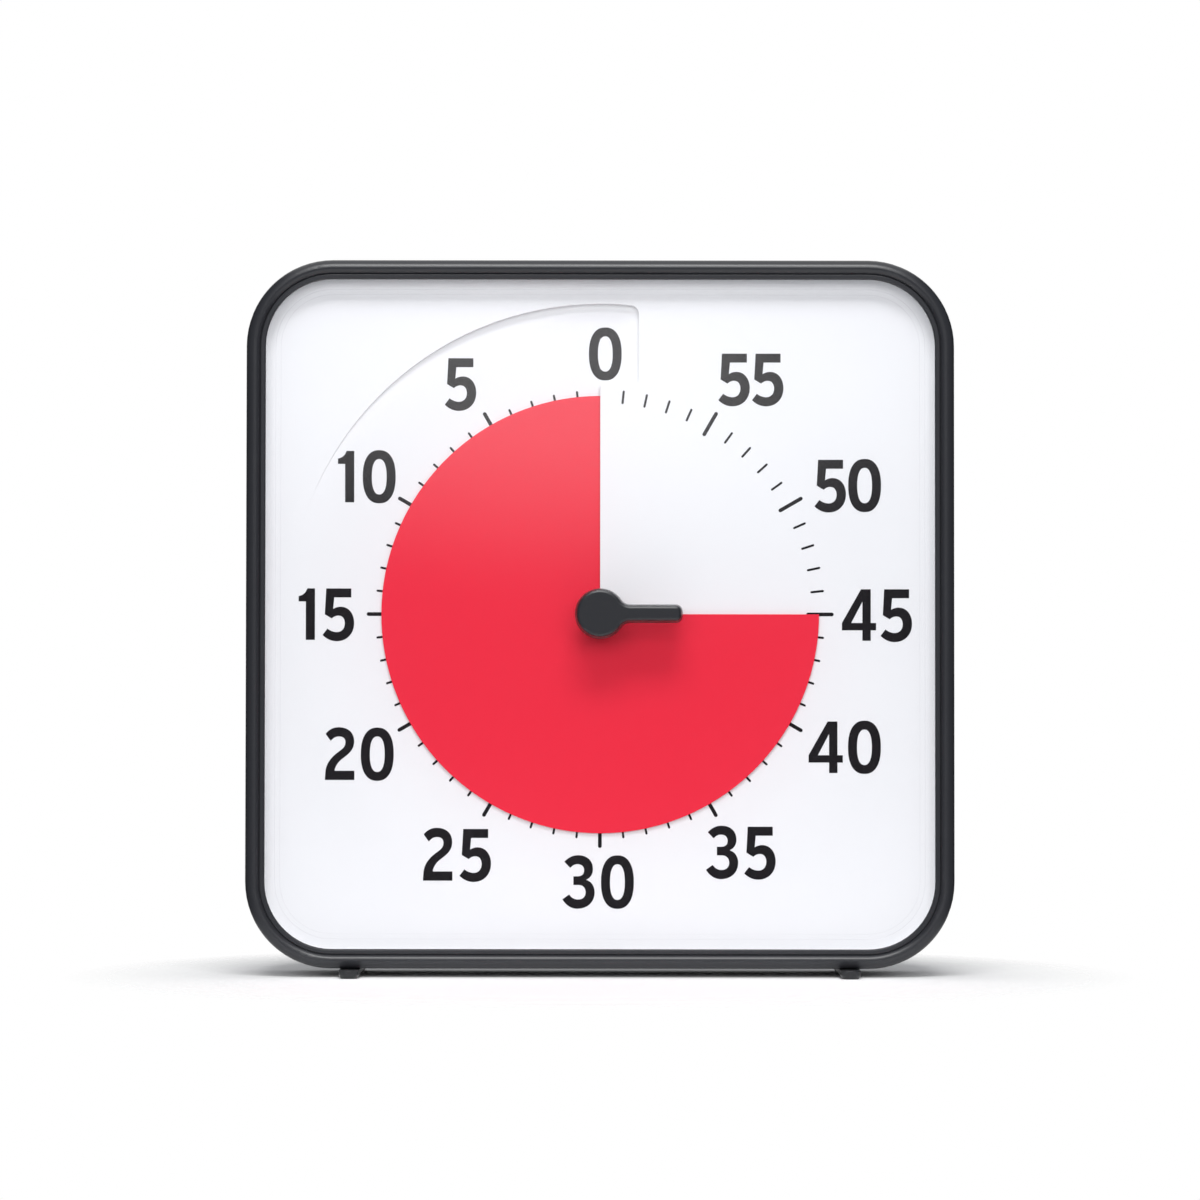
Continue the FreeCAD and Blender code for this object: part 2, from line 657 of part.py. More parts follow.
def make_train():
    centre = gear(
        CENTRE_TEETH, SLOW_MODULE, CENTRE_TO_THIRD_DEG, 0, 0, layer_y(0), WHEEL_THICK, SPINDLE_THIN_R + PIVOT_GAP
    )
    third = train_wheel(
        THIRD_AT, THIRD_TEETH, SLOW_MODULE, THIRD_TO_FOURTH_DEG, 1, SLOW_MODULE, CENTRE_TO_THIRD_DEG + 180
    )
    fourth = train_wheel(
        FOURTH_AT, FOURTH_TEETH, MIDDLE_MODULE, FOURTH_TO_FIFTH_DEG, 2, SLOW_MODULE, THIRD_TO_FOURTH_DEG + 180
    )
    fifth = train_wheel(
        FIFTH_AT, FIFTH_TEETH, FAST_MODULE, FIFTH_TO_ROTOR_DEG, 3, MIDDLE_MODULE, FOURTH_TO_FIFTH_DEG + 180
    )
    rotor_pinion = pinion(ROTOR_AT, FAST_MODULE, FIFTH_TO_ROTOR_DEG + 180, ROTOR_LAYER)
    rotor = rotor_pinion.fuse(arbor(ROTOR_AT))
    magnet = rod(ROTOR_AT[0], ROTOR_AT[1], MAGNET_R, MAGNET_Y, MAGNET_Y + MAGNET_THICK)
    magnet = magnet.cut(rod(ROTOR_AT[0], ROTOR_AT[1], ARBOR_R + PRESS_GAP, MAGNET_Y - 1, MAGNET_Y + OVERCUT))
    return {
        "centre_wheel": centre,
        "third_wheel": third,
        "fourth_wheel": fourth,
        "fifth_wheel": fifth,
        "rotor_pinion": rotor,
        "rotor_magnet": magnet,
    }


def make_clutch_spring():
    """A dished friction washer on the spindle, just behind the centre wheel."""
    y0 = layer_y(0) + WHEEL_THICK + 0.1
    washer = rod(0, 0, SPINDLE_THIN_R + 2.4, y0, y0 + 0.3)
    collar = rod(0, 0, SPINDLE_THIN_R + 0.4, y0, y0 + 0.45)
    return washer.fuse(collar).cut(rod(0, 0, SPINDLE_THIN_R + PRESS_GAP, y0 - 1, y0 + 2))


def make_cam():
    """The cam that lets the alarm contact close at zero."""
    cam = rod(0, 0, CAM_R, CAM_Y, CAM_Y + CAM_THICK)
    notch = box(CAM_R - CAM_NOTCH, CAM_R + 1, CAM_Y - 1, CAM_Y + CAM_THICK + 1, -0.8, 0.8)
    notch.rotate(vec(0, 0, 0), vec(0, 1, 0), 135)
    return cam.cut(notch).cut(rod(0, 0, SPINDLE_THIN_R + PRESS_GAP, CAM_Y - 1, CAM_Y + OVERCUT))


def ear_places():
    return [(sx * EAR_X, sz * EAR_Z) for sx in (1, -1) for sz in (1, -1)]


def make_drive_plate():
    """The drive's front plate with four screw ears and a hole for each arbor."""
    plate = slab(DRIVE_HALF, DRIVE_HALF, DRIVE_CORNER_R, DRIVE_FRONT_Y, DRIVE_FRONT_Y + DRIVE_PLATE)
    for x, z in ear_places():
        ear = rod(x, z, EAR_R, DRIVE_FRONT_Y, DRIVE_FRONT_Y + DRIVE_PLATE)
        x0, x1 = sorted((x, math.copysign(DRIVE_HALF - 1, x)))
        web = box(x0, x1, DRIVE_FRONT_Y, DRIVE_FRONT_Y + DRIVE_PLATE, z - EAR_R, z + EAR_R)
        plate = plate.fuse(ear).fuse(web)
        plate = plate.cut(rod(x, z, SCREW_R + 0.15, DRIVE_FRONT_Y - 1, DRIVE_FRONT_Y + 3))
    plate = plate.cut(rod(0, 0, SPINDLE_THIN_R + PIVOT_GAP, DRIVE_FRONT_Y - 1, DRIVE_FRONT_Y + 3))
    for x, z in ARBOR_PLACES:
        plate = plate.cut(rod(x, z, ARBOR_R + PIVOT_GAP, DRIVE_FRONT_Y - 1, DRIVE_FRONT_Y + 3))
    return plate.removeSplitter()


def make_drive_cover():
    """The drive's back shell, with a rear bearing for each arbor."""
    seat = DRIVE_FRONT_Y + DRIVE_PLATE
    shell = slab(DRIVE_HALF, DRIVE_HALF, DRIVE_CORNER_R, seat, DRIVE_BACK_Y)
    inner = DRIVE_HALF - DRIVE_WALL
    shell = shell.cut(slab(inner, inner, DRIVE_CORNER_R - DRIVE_WALL, seat - 1, DRIVE_BACK_Y - DRIVE_WALL))
    for x, z in (CENTRE_AT,) + ARBOR_PLACES:
        bearing_r = SPINDLE_THIN_R if (x, z) == CENTRE_AT else ARBOR_R
        shell = shell.fuse(rod(x, z, bearing_r + 0.9, DRIVE_BACK_Y - DRIVE_WALL - 1, DRIVE_BACK_Y))
        shell = shell.cut(rod(x, z, bearing_r + PIVOT_GAP, DRIVE_BACK_Y - OVERCUT, DRIVE_BACK_Y - 0.4))
    for x, z in ((ROTOR_AT[0] - STATOR_ARM, ROTOR_AT[1] - 4.4), (CENTRE_AT[0] - 5.0, ROTOR_AT[1] - 5.5)):
        pillar = rod(x, z, PILLAR_R, STATOR_Y + STATOR_THICK, DRIVE_BACK_Y - DRIVE_WALL + 0.1)
        shell = shell.fuse(pillar)
    return shell.removeSplitter()


def make_stator():
    """Two soft-iron limbs from the rotor down to the ends of the coil's core."""
    x, z = ROTOR_AT
    y0 = STATOR_Y
    y1 = y0 + STATOR_THICK
    ring_r = MAGNET_R + STATOR_GAP + STATOR_ARM * 0.6
    bridge_top = z - STATOR_BRIDGE_DROP
    stator = rod(x, z, ring_r, y0, y1)
    left = box(x - ring_r, x - ring_r + STATOR_ARM, y0, y1, COIL_Z - 2, z)
    coil_end = x - ring_r + STATOR_ARM / 2 + COIL_LENGTH + 2 * COIL_FLANGE + STATOR_ARM
    right = box(coil_end - STATOR_ARM / 2, coil_end + STATOR_ARM / 2, y0, y1, COIL_Z - 2, bridge_top)
    bridge = box(x, coil_end + STATOR_ARM / 2, y0, y1, bridge_top - STATOR_BRIDGE, bridge_top)
    stator = stator.fuse(left).fuse(right).fuse(bridge)
    stator = stator.cut(rod(x, z, MAGNET_R + STATOR_GAP, y0 - 1, y1 + 1))
    return stator.removeSplitter(), x - ring_r + STATOR_ARM / 2, coil_end


def x_rod(radius, x0, x1, y, z):
    return Part.makeCylinder(radius, x1 - x0, vec(x0, y, z), vec(1, 0, 0))


def make_coil_set():
    stator, left, right = make_stator()
    core_y = STATOR_Y - COIL_CORE_R
    start = (left + right - COIL_LENGTH) / 2
    end = start + COIL_LENGTH
    reach = STATOR_ARM / 2
    core = x_rod(COIL_CORE_R, left - reach, right + reach, core_y, COIL_Z)
    core = core.common(box(left - reach, right + reach, core_y - OVERCUT, STATOR_Y, COIL_Z - 5, COIL_Z + 5))
    bobbin = x_rod(COIL_CORE_R + 0.8, start, end, core_y, COIL_Z)
    for x0 in (start - COIL_FLANGE, end):
        bobbin = bobbin.fuse(x_rod(COIL_FLANGE_R, x0, x0 + COIL_FLANGE, core_y, COIL_Z))
    hole = x_rod(COIL_CORE_R + PRESS_GAP, start - 2, end + 2, core_y, COIL_Z)
    bobbin = bobbin.cut(hole)
    winding = x_rod(COIL_R, start + 0.1, end - 0.1, core_y, COIL_Z)
    winding = winding.cut(x_rod(COIL_CORE_R + 0.8 + PRESS_GAP, start - 2, end + 2, core_y, COIL_Z))
    return {"stator": stator, "coil_core": core, "coil_bobbin": bobbin, "coil_winding": winding}


def make_electronics():
    """The circuit board with its chip, crystal and the leaf that the alarm cam closes."""
    y0 = DRIVE_BACK_Y - DRIVE_WALL - BOARD_THICK
    y1 = y0 + BOARD_THICK
    board = box(-BOARD_HALF_X, BOARD_HALF_X, y0, y1, BOARD_BOTTOM_Z, BOARD_TOP_Z)
    chip = rod(CHIP_X, CHIP_Z, CHIP_R, y0 - CHIP_HEIGHT, y0)
    end = CRYSTAL_X + CRYSTAL_LENGTH
    crystal_z = BOARD_TOP_Z - CRYSTAL_DROP
    crystal = x_rod(CRYSTAL_R, CRYSTAL_X, end, y0 - CRYSTAL_R, crystal_z)
    leads = box(end, end + CRYSTAL_LEADS, y0 - CRYSTAL_R - 0.2, y0, crystal_z - 0.6, crystal_z + 0.6)
    leaf_x = CAM_R + 0.35
    leaf = box(leaf_x, leaf_x + LEAF_THICK, CAM_Y, CAM_Y + LEAF_WIDTH, BOARD_TOP_Z - 2, 2.5)
    leg = box(leaf_x, leaf_x + LEAF_THICK, CAM_Y, y0, BOARD_TOP_Z - 2, BOARD_TOP_Z - 0.6)
    foot = box(leaf_x, leaf_x + 2.5, y0 - LEAF_THICK, y0, BOARD_TOP_Z - 2, BOARD_TOP_Z - 0.6)
    return {
        "circuit_board": board,
        "timer_chip": chip,
        "quartz_crystal": crystal.fuse(leads),
        "alarm_contact_leaf": leaf.fuse(leg).fuse(foot).removeSplitter(),
    }


def screw(x, z, head_y, inwards, length, head_r=SCREW_HEAD_R):
    """A pan-head screw with a cross slot. inwards is +1 when it is driven towards the back."""
    head_y0, head_y1 = sorted((head_y, head_y - inwards * SCREW_HEAD))
    shank_y0, shank_y1 = sorted((head_y, head_y + inwards * length))
    body = rod(x, z, head_r, head_y0, head_y1).fuse(rod(x, z, SCREW_R - PRESS_GAP, shank_y0, shank_y1))
    top = head_y - inwards * SCREW_HEAD
    y0, y1 = sorted((top - inwards, top + inwards * 0.9))
    slot = box(x - 0.35, x + 0.35, y0, y1, z - head_r * 0.7, z + head_r * 0.7)
    cross = box(x - head_r * 0.7, x + head_r * 0.7, y0, y1, z - 0.35, z + 0.35)
    return body.cut(slot.fuse(cross))


def post_front_y():
    return DIAL_BACK_Y + DIAL_BOSS


def make_screws():
    case_screws = []
    for sx in (1, -1):
        for sz in (1, -1):
            case_screws.append(
                screw(sx * POST_XZ, sz * POST_XZ, post_front_y() + POST_WEB, -1, POST_WEB + DIAL_BOSS - 1)
            )
    drive_screws = [screw(x, z, DRIVE_FRONT_Y, 1, SCREW_LENGTH) for x, z in ear_places()]
    return {"case_screws": Part.makeCompound(case_screws), "drive_screws": Part.makeCompound(drive_screws)}


def bay_half_x():
    return CELL_LENGTH / 2 + BAY_END_GAP


def bay_half_z():
    return CELL_R + BAY_SIDE_GAP


def make_housing():
    """The back shell with its screw posts, battery bay, buzzer chamber and openings."""
    shell = slab(HALF, HALF, CASE_CORNER_R, SPLIT_Y, BACK_Y)
    back_edges = [e for e in shell.Edges if all(abs(v.Y - BACK_Y) < 0.01 for v in e.Vertexes)]
    shell = shell.makeFillet(BACK_EDGE_R, back_edges)
    shell = shell.cut(slab(INNER_HALF, INNER_HALF, INNER_R, SPLIT_Y - 1, BACK_INNER_Y))
    tongue_half = INNER_HALF - PANEL_CLEAR
    tongue_r = INNER_R - PANEL_CLEAR
    tongue = slab(tongue_half, tongue_half, tongue_r, DIAL_BACK_Y, SPLIT_Y + 4)
    ledge = slab(INNER_HALF + 0.5, INNER_HALF + 0.5, INNER_R, SPLIT_Y + 2, SPLIT_Y + 4)
    tongue = tongue.fuse(ledge)
    inside = tongue_half - 1.6
    tongue = tongue.cut(slab(inside, inside, tongue_r - 1.6, DIAL_BACK_Y - 1, SPLIT_Y + 5))
    housing = shell.fuse(tongue).fuse(snap_beads(0))

    bay_x = bay_half_x() + BAY_WALL
    bay_z = bay_half_z() + BAY_WALL
    bay_front = CELL_Y - CELL_R - 0.4 - BAY_WALL
    bay = slab(bay_x, bay_z, BAY_WALL, bay_front, BACK_INNER_Y, 0, CELL_Z)
    housing = housing.fuse(bay)

    ring = rod(BUZZER_X, BUZZER_Z, BUZZER_R + BUZZER_RING, BACK_INNER_Y - BUZZER_STAND - 1.2, BACK_INNER_Y)
    ring = ring.cut(rod(BUZZER_X, BUZZER_Z, BUZZER_R + PRESS_GAP, BACK_INNER_Y - OVERCUT, BACK_INNER_Y))
    ledge_ring = rod(BUZZER_X, BUZZER_Z, BUZZER_R + PRESS_GAP, BACK_INNER_Y - BUZZER_STAND, BACK_INNER_Y)
    ledge_ring = ledge_ring.cut(rod(BUZZER_X, BUZZER_Z, BUZZER_R - 1.5, BACK_INNER_Y - OVERCUT, BACK_INNER_Y))
    housing = housing.fuse(ring).fuse(ledge_ring)

    for sx in (1, -1):
        for sz in (1, -1):
            x, z = sx * POST_XZ, sz * POST_XZ
            post = rod(x, z, POST_R, post_front_y(), BACK_INNER_Y + 0.5)
            deep = rod(x, z, SCREW_HEAD_R + 0.2, post_front_y() + POST_WEB, BACK_Y + 1)
            through = rod(x, z, SCREW_R + 0.15, post_front_y() - 1, post_front_y() + POST_WEB + 1)
            housing = housing.fuse(post).cut(deep).cut(through)
    for x, z in ear_places():
        post = rod(x, z, EAR_R, DRIVE_FRONT_Y + DRIVE_PLATE, BACK_INNER_Y + 0.5)
        hole = rod(x, z, SCREW_R, DRIVE_FRONT_Y + DRIVE_PLATE - 1, DRIVE_FRONT_Y + SCREW_LENGTH + 1)
        housing = housing.fuse(post).cut(hole)

    cavity = slab(bay_half_x(), bay_half_z(), 1.0, bay_front + BAY_WALL, BACK_Y + 1, 0, CELL_Z)
    door_x = bay_half_x() + DOOR_MARGIN
    door_z = bay_half_z() + DOOR_MARGIN
    rebate = slab(door_x + DOOR_GAP, door_z + DOOR_GAP, 3.0, BACK_Y - DOOR_THICK, BACK_Y + 1, 0, CELL_Z)
    frame = slab(door_x + 3, door_z + 3, 4.0, BACK_Y - DOOR_THICK - 1.6, BACK_Y - DOOR_THICK, 0, CELL_Z)
    housing = housing.fuse(frame).cut(rebate).cut(cavity)

    for i in range(SLOT_COUNT):
        z = BUZZER_Z + (i - (SLOT_COUNT - 1) / 2) * SLOT_PITCH
        slot = slab(
            SLOT_LENGTH / 2, SLOT_WIDTH / 2, SLOT_WIDTH / 2 - 0.01, BACK_INNER_Y - 1, BACK_Y + 1, BUZZER_X, z
        )
        housing = housing.cut(slot)

    switch_x = (SWITCH_CAP + SWITCH_TRAVEL) / 2 + SWITCH_GAP
    switch_z = SWITCH_CAP / 2 + SWITCH_GAP
    middle = SWITCH_X + SWITCH_TRAVEL / 2
    housing = housing.cut(slab(switch_x, switch_z, 0.5, BACK_INNER_Y - 1, BACK_Y + 1, middle, SWITCH_Z))

    keyhole = rod(0, KEYHOLE_Z, KEYHOLE_R, BACK_INNER_Y - 1, BACK_Y + 1)
    keyhole = keyhole.fuse(
        slab(
            KEYHOLE_SLOT / 2,
            KEYHOLE_RISE / 2 + KEYHOLE_SLOT / 2,
            KEYHOLE_SLOT / 2 - 0.01,
            BACK_INNER_Y - 1,
            BACK_Y + 1,
            0,
            KEYHOLE_Z + KEYHOLE_RISE / 2,
        )
    )
    housing = housing.cut(keyhole)
    for sx in (1, -1):
        seat = Part.makeCylinder(
            PIVOT_R + FOOT_PIVOT_GAP, CASE_WALL + 2, vec(sx * FOOT_X, FOOT_Y, -HALF - 1), vec(0, 0, 1)
        )
        place = vec(sx * FOOT_X, FOOT_Y, -HALF + CASE_WALL)
        clearing = Part.makeCylinder(PIVOT_HEAD_R + 0.4, 5.0, place, vec(0, 0, 1))
        housing = housing.cut(seat).cut(clearing)
    return housing.removeSplitter()


def make_cell():
    x0 = -CELL_LENGTH / 2
    x1 = CELL_LENGTH / 2
    cell = x_rod(CELL_R, x0, x1 - CELL_NIPPLE, CELL_Y, CELL_Z)
    cell = cell.makeChamfer(0.4, [e for e in cell.Edges if e.Closed and len(e.Vertexes) == 1])
    return cell.fuse(x_rod(CELL_NIPPLE_R, x1 - CELL_NIPPLE - 0.1, x1, CELL_Y, CELL_Z))


def make_contacts():
    """A sprung contact at the cell's flat end and a plate at its nipple."""
    half = CONTACT_SIZE / 2
    left = -bay_half_x()
    right = bay_half_x()
    spring_length = BAY_END_GAP - CONTACT_THICK - 2 * SPRING_WIRE_R - 0.05
    helix = Part.makeHelix(spring_length / SPRING_TURNS, spring_length, SPRING_R)
    start = helix.Vertexes[0].Point
    ring = Part.makeCircle(SPRING_WIRE_R, start, vec(0, 1, 0))
    pipe = Part.Wire(helix.Edges).makePipeShell([Part.Wire([ring])], True, True)
    pipe.rotate(vec(0, 0, 0), vec(0, 1, 0), 90)
    pipe.translate(vec(left + CONTACT_THICK + SPRING_WIRE_R, CELL_Y, CELL_Z))
    minus = box(left, left + CONTACT_THICK, CELL_Y - half, CELL_Y + half, CELL_Z - half, CELL_Z + half)
    bump_x = CELL_LENGTH / 2 + 0.1
    plus = box(right - CONTACT_THICK, right, CELL_Y - half, CELL_Y + half, CELL_Z - half, CELL_Z + half)
    plus = plus.fuse(x_rod(2.0, bump_x, right - CONTACT_THICK, CELL_Y, CELL_Z))
    return {"negative_spring": pipe, "negative_contact": minus, "positive_contact": plus}


def make_door():
    """The battery door: a flush panel with a finger notch, locating ribs and a latch tongue."""
    half_x = bay_half_x() + DOOR_MARGIN
    half_z = bay_half_z() + DOOR_MARGIN
    front = BACK_Y - DOOR_THICK
    door = slab(half_x, half_z, 3.0 - DOOR_GAP, front, BACK_Y, 0, CELL_Z)
    for sx in (1, -1):
        x = sx * (bay_half_x() - 3.0)
        door = door.fuse(box(x - 0.8, x + 0.8, front - 1.0, front, CELL_Z - 5, CELL_Z + 5))
    notch = slab(DOOR_LATCH_WIDTH / 2, 1.5, 1.4, BACK_Y - 0.9, BACK_Y + 1, 0, CELL_Z + half_z - 3.0)
    return door.cut(notch)


def make_switch():
    """The sound switch's cap, with a flange that stays inside the back wall."""
    half = SWITCH_CAP / 2
    cap = slab(half, half, 0.5, BACK_INNER_Y - 0.3, BACK_Y - 0.4, SWITCH_X, SWITCH_Z)
    flange = slab(
        half + SWITCH_TRAVEL / 2 + 1.2,
        half + 1.5,
        0.6,
        BACK_INNER_Y - 1.3,
        BACK_INNER_Y - 0.3,
        SWITCH_X,
        SWITCH_Z,
    )
    stem = slab(1.0, 1.0, 0.3, BACK_INNER_Y - 3.3, BACK_INNER_Y - 1.3, SWITCH_X, SWITCH_Z)
    ridges = [
        box(SWITCH_X + dx - 0.25, SWITCH_X + dx + 0.25, BACK_Y - 0.4, BACK_Y - 0.05, SWITCH_Z - 1.6, SWITCH_Z + 1.6)
        for dx in (-1.2, 0.0, 1.2)
    ]
    for piece in [flange, stem] + ridges:
        cap = cap.fuse(piece)
    return cap.removeSplitter()


def make_switch_base():
    """The electrical slide switch behind the cap, on two pegs of the back wall."""
    middle = SWITCH_X + SWITCH_TRAVEL / 2
    y1 = BACK_INNER_Y - SWITCH_BODY_GAP
    half_x = SWITCH_BODY_X / 2
    half_z = SWITCH_BODY_Z / 2
    y0 = y1 - SWITCH_BODY_DEPTH
    base = box(middle - half_x, middle + half_x, y0, y1, SWITCH_Z - half_z, SWITCH_Z + half_z)
    reach = SWITCH_TRAVEL / 2 + 1.0 + SWITCH_GAP
    base = base.cut(box(middle - reach, middle + reach, y1 - 2.6, y1 + 1, SWITCH_Z - 1.4, SWITCH_Z + 1.4))
    for sx in (1, -1):
        x = middle + sx * SWITCH_PEG_AT
        reach_x = SWITCH_PEG_HALF
        base = base.fuse(box(x - reach_x, x + reach_x, y1 - 2, BACK_INNER_Y, SWITCH_Z - 2, SWITCH_Z + 2))
    return base.removeSplitter()


def make_foot(side):
    """A swivel foot: a low bar under the case with a short pivot in its bottom wall."""
    top = -HALF - FOOT_GAP
    bottom = -HALF - FOOT_HEIGHT

    def outline(inset, z):
        wire = rounded_wire(FOOT_WIDTH / 2 - inset, FOOT_LENGTH / 2 - inset, FOOT_WIDTH * 0.4 - inset, 0)
        wire.rotate(vec(0, 0, 0), vec(1, 0, 0), 90)
        wire.translate(vec(side * FOOT_X, FOOT_Y, z))
        return wire

    bar = Part.makeLoft([outline(0, top), outline(0, bottom + 1.0), outline(FOOT_TAPER, bottom)], True, True)
    pivot_top = -HALF + CASE_WALL + 0.1
    place = vec(side * FOOT_X, FOOT_Y, top - 0.5)
    pivot = Part.makeCylinder(PIVOT_R, pivot_top - top + 0.5, place, vec(0, 0, 1))
    bore = Part.makeCylinder(SCREW_R, OVERCUT, vec(side * FOOT_X, FOOT_Y, bottom + 0.9), vec(0, 0, 1))
    return bar.fuse(pivot).cut(bore)


def make_foot_screw(side):
    """A washer-head screw that holds the foot's pivot from inside the case."""
    seat = -HALF + CASE_WALL + 0.1
    place = vec(side * FOOT_X, FOOT_Y, seat)
    head = Part.makeCylinder(PIVOT_HEAD_R, PIVOT_HEAD, place, vec(0, 0, 1))
    dome = Part.makeCylinder(SCREW_HEAD_R, 1.0, place + vec(0, 0, PIVOT_HEAD), vec(0, 0, 1))
    bottom = -HALF - FOOT_HEIGHT + 1.0
    shank = Part.makeCylinder(SCREW_R - PRESS_GAP, seat - bottom, vec(side * FOOT_X, FOOT_Y, bottom), vec(0, 0, 1))
    return head.fuse(dome).fuse(shank)


def make_all():
    solids = {
        "front_bezel": make_bezel(),
        "lens": make_lens(),
        "dial_plate": make_dial(),
        "rear_housing": make_housing(),
        "red_disc": make_disc(),
        "disc_hub": make_hub(),
        "setting_knob": make_knob(),
        "spindle": make_spindle(),
        "clutch_spring": make_clutch_spring(),
        "alarm_cam": make_cam(),
        "drive_plate": make_drive_plate(),
        "drive_cover": make_drive_cover(),
        "battery_cell": make_cell(),
        "battery_door": make_door(),
        "buzzer_disc": rod(
            BUZZER_X,
            BUZZER_Z,
            BUZZER_R,
            BACK_INNER_Y - BUZZER_STAND - BUZZER_THICK,
            BACK_INNER_Y - BUZZER_STAND,
        ),
        "sound_switch_cap": make_switch(),
        "sound_switch_base": make_switch_base(),
        "foot_left": make_foot(-1),
        "foot_right": make_foot(1),
        "foot_screw_left": make_foot_screw(-1),
        "foot_screw_right": make_foot_screw(1),
    }
    solids.update(make_train())
    solids.update(make_coil_set())
    solids.update(make_electronics())
    solids.update(make_screws())
    solids.update(make_contacts())
    return solids


os.makedirs("parts", exist_ok=True)
for name, shape in make_all().items():
    shape = shape.copy()
    shape.translate(vec(0, 0, AXIS_Z))
    shape.exportStep("parts/" + name + ".step")
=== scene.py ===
import math

import bmesh
import bpy
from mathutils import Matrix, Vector


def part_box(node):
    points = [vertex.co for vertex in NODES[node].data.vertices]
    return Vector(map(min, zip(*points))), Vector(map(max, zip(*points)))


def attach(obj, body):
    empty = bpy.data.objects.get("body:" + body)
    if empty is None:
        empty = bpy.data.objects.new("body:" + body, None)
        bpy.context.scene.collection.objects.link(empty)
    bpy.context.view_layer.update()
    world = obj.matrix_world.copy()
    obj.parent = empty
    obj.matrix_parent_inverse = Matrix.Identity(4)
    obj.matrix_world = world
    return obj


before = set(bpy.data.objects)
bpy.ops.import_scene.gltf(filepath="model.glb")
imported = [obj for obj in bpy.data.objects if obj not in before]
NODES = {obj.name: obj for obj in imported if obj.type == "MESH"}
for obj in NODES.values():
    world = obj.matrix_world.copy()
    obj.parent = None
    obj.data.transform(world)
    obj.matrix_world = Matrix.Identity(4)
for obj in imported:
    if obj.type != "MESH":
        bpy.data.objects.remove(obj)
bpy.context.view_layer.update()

MM = 0.001

# The dial's centre and the timer's foremost plane, measured from its own solids
LENS_LOW, LENS_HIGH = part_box("lens")
CENTRE_X = 0.0
CENTRE_Z = (LENS_LOW.z + LENS_HIGH.z) / 2
FOREMOST_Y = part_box("setting_knob")[0].y

# The printed dial, in millimetres from its centre
INK_LIFT = 0.04
INK_GRID = 1.6
INK_CUTS = 4
MINUTES = 60
MINOR_INNER_R = 57.1
MINOR_OUTER_R = 60.8
MINOR_WIDTH = 0.6
MAJOR_INNER_R = 55.7
MAJOR_OUTER_R = 63.1
MAJOR_WIDTH = 1.0
TICK_END_SIDES = 6
DIGIT_HEIGHT = 13.9
ZERO_WIDTH = 8.86
OVAL_STEPS = 48
OVAL_POWER = 2.35
LEG_STEPS = 8


def linear(hex_colour, alpha=1.0):
    """An sRGB colour written as six hex digits, as linear light."""
    channels = []
    for i in (0, 2, 4):
        value = int(hex_colour[i : i + 2], 16) / 255
        channels.append(value / 12.92 if value <= 0.04045 else ((value + 0.055) / 1.055) ** 2.4)
    return (*channels, alpha)


def add(tree, kind, links=(), **settings):
    """Adds a node. Settings are its properties, or its sockets when the name isn't a property;
    links join sockets of other nodes to its inputs."""
    node = tree.nodes.new(kind)
    for key, value in settings.items():
        if key in node.bl_rna.properties:
            setattr(node, key, value)
        else:
            node.inputs[key.replace("_", " ")].default_value = value
    for source, target in links:
        tree.links.new(source, node.inputs[target])
    return node


def new_material(name):
    """An empty material and its node tree."""
    material = bpy.data.materials.new(name)
    material.use_nodes = True
    material.node_tree.nodes.clear()
    return material, material.node_tree


def spark_textured_abs(name, hex_colour, roughness=0.31, edge_mm=0.25, specular=0.45):
    """ABS moulded in a spark-eroded tool: a fine matt grain breaks up the highlight, and the
    worn-in edges catch a softer, slightly paler line. The real grain is about 0.1 mm and is
    drawn at 0.35 mm so that it shows."""
    material, tree = new_material(name)
    place = add(tree, "ShaderNodeTexCoord")
    within = [(place.outputs["Object"], "Vector")]
    fine = add(tree, "ShaderNodeTexNoise", within, Scale=1 / (0.35 * MM), Detail=2.0)
    broad = add(tree, "ShaderNodeTexNoise", within, Scale=1 / (18 * MM), Detail=2.0)
    tone = add(tree, "ShaderNodeMix", [(broad.outputs["Fac"], "Factor")], data_type="RGBA")
    base = linear(hex_colour)
    tone.inputs["A"].default_value = tuple(c * 0.94 for c in base[:3]) + (1,)
    tone.inputs["B"].default_value = tuple(min(1, c * 1.06) for c in base[:3]) + (1,)
    matt = add(
        tree,
        "ShaderNodeMapRange",
        [(fine.outputs["Fac"], "Value")],
        To_Min=roughness - 0.05,
        To_Max=roughness + 0.07,
    )
    edge = add(tree, "ShaderNodeBevel", Radius=edge_mm * MM)
    bump = add(
        tree,
        "ShaderNodeBump",
        [(fine.outputs["Fac"], "Height"), (edge.outputs["Normal"], "Normal")],
        Strength=0.12,
        Distance=0.03 * MM,
    )
    shader = add(
        tree,
        "ShaderNodeBsdfPrincipled",
        [
            (tone.outputs["Result"], "Base Color"),
            (matt.outputs["Result"], "Roughness"),
            (bump.outputs["Normal"], "Normal"),
        ],
        IOR=1.53,
    )
    shader.inputs["Specular IOR Level"].default_value = specular
    add(tree, "ShaderNodeOutputMaterial", [(shader.outputs["BSDF"], "Surface")])
    return material


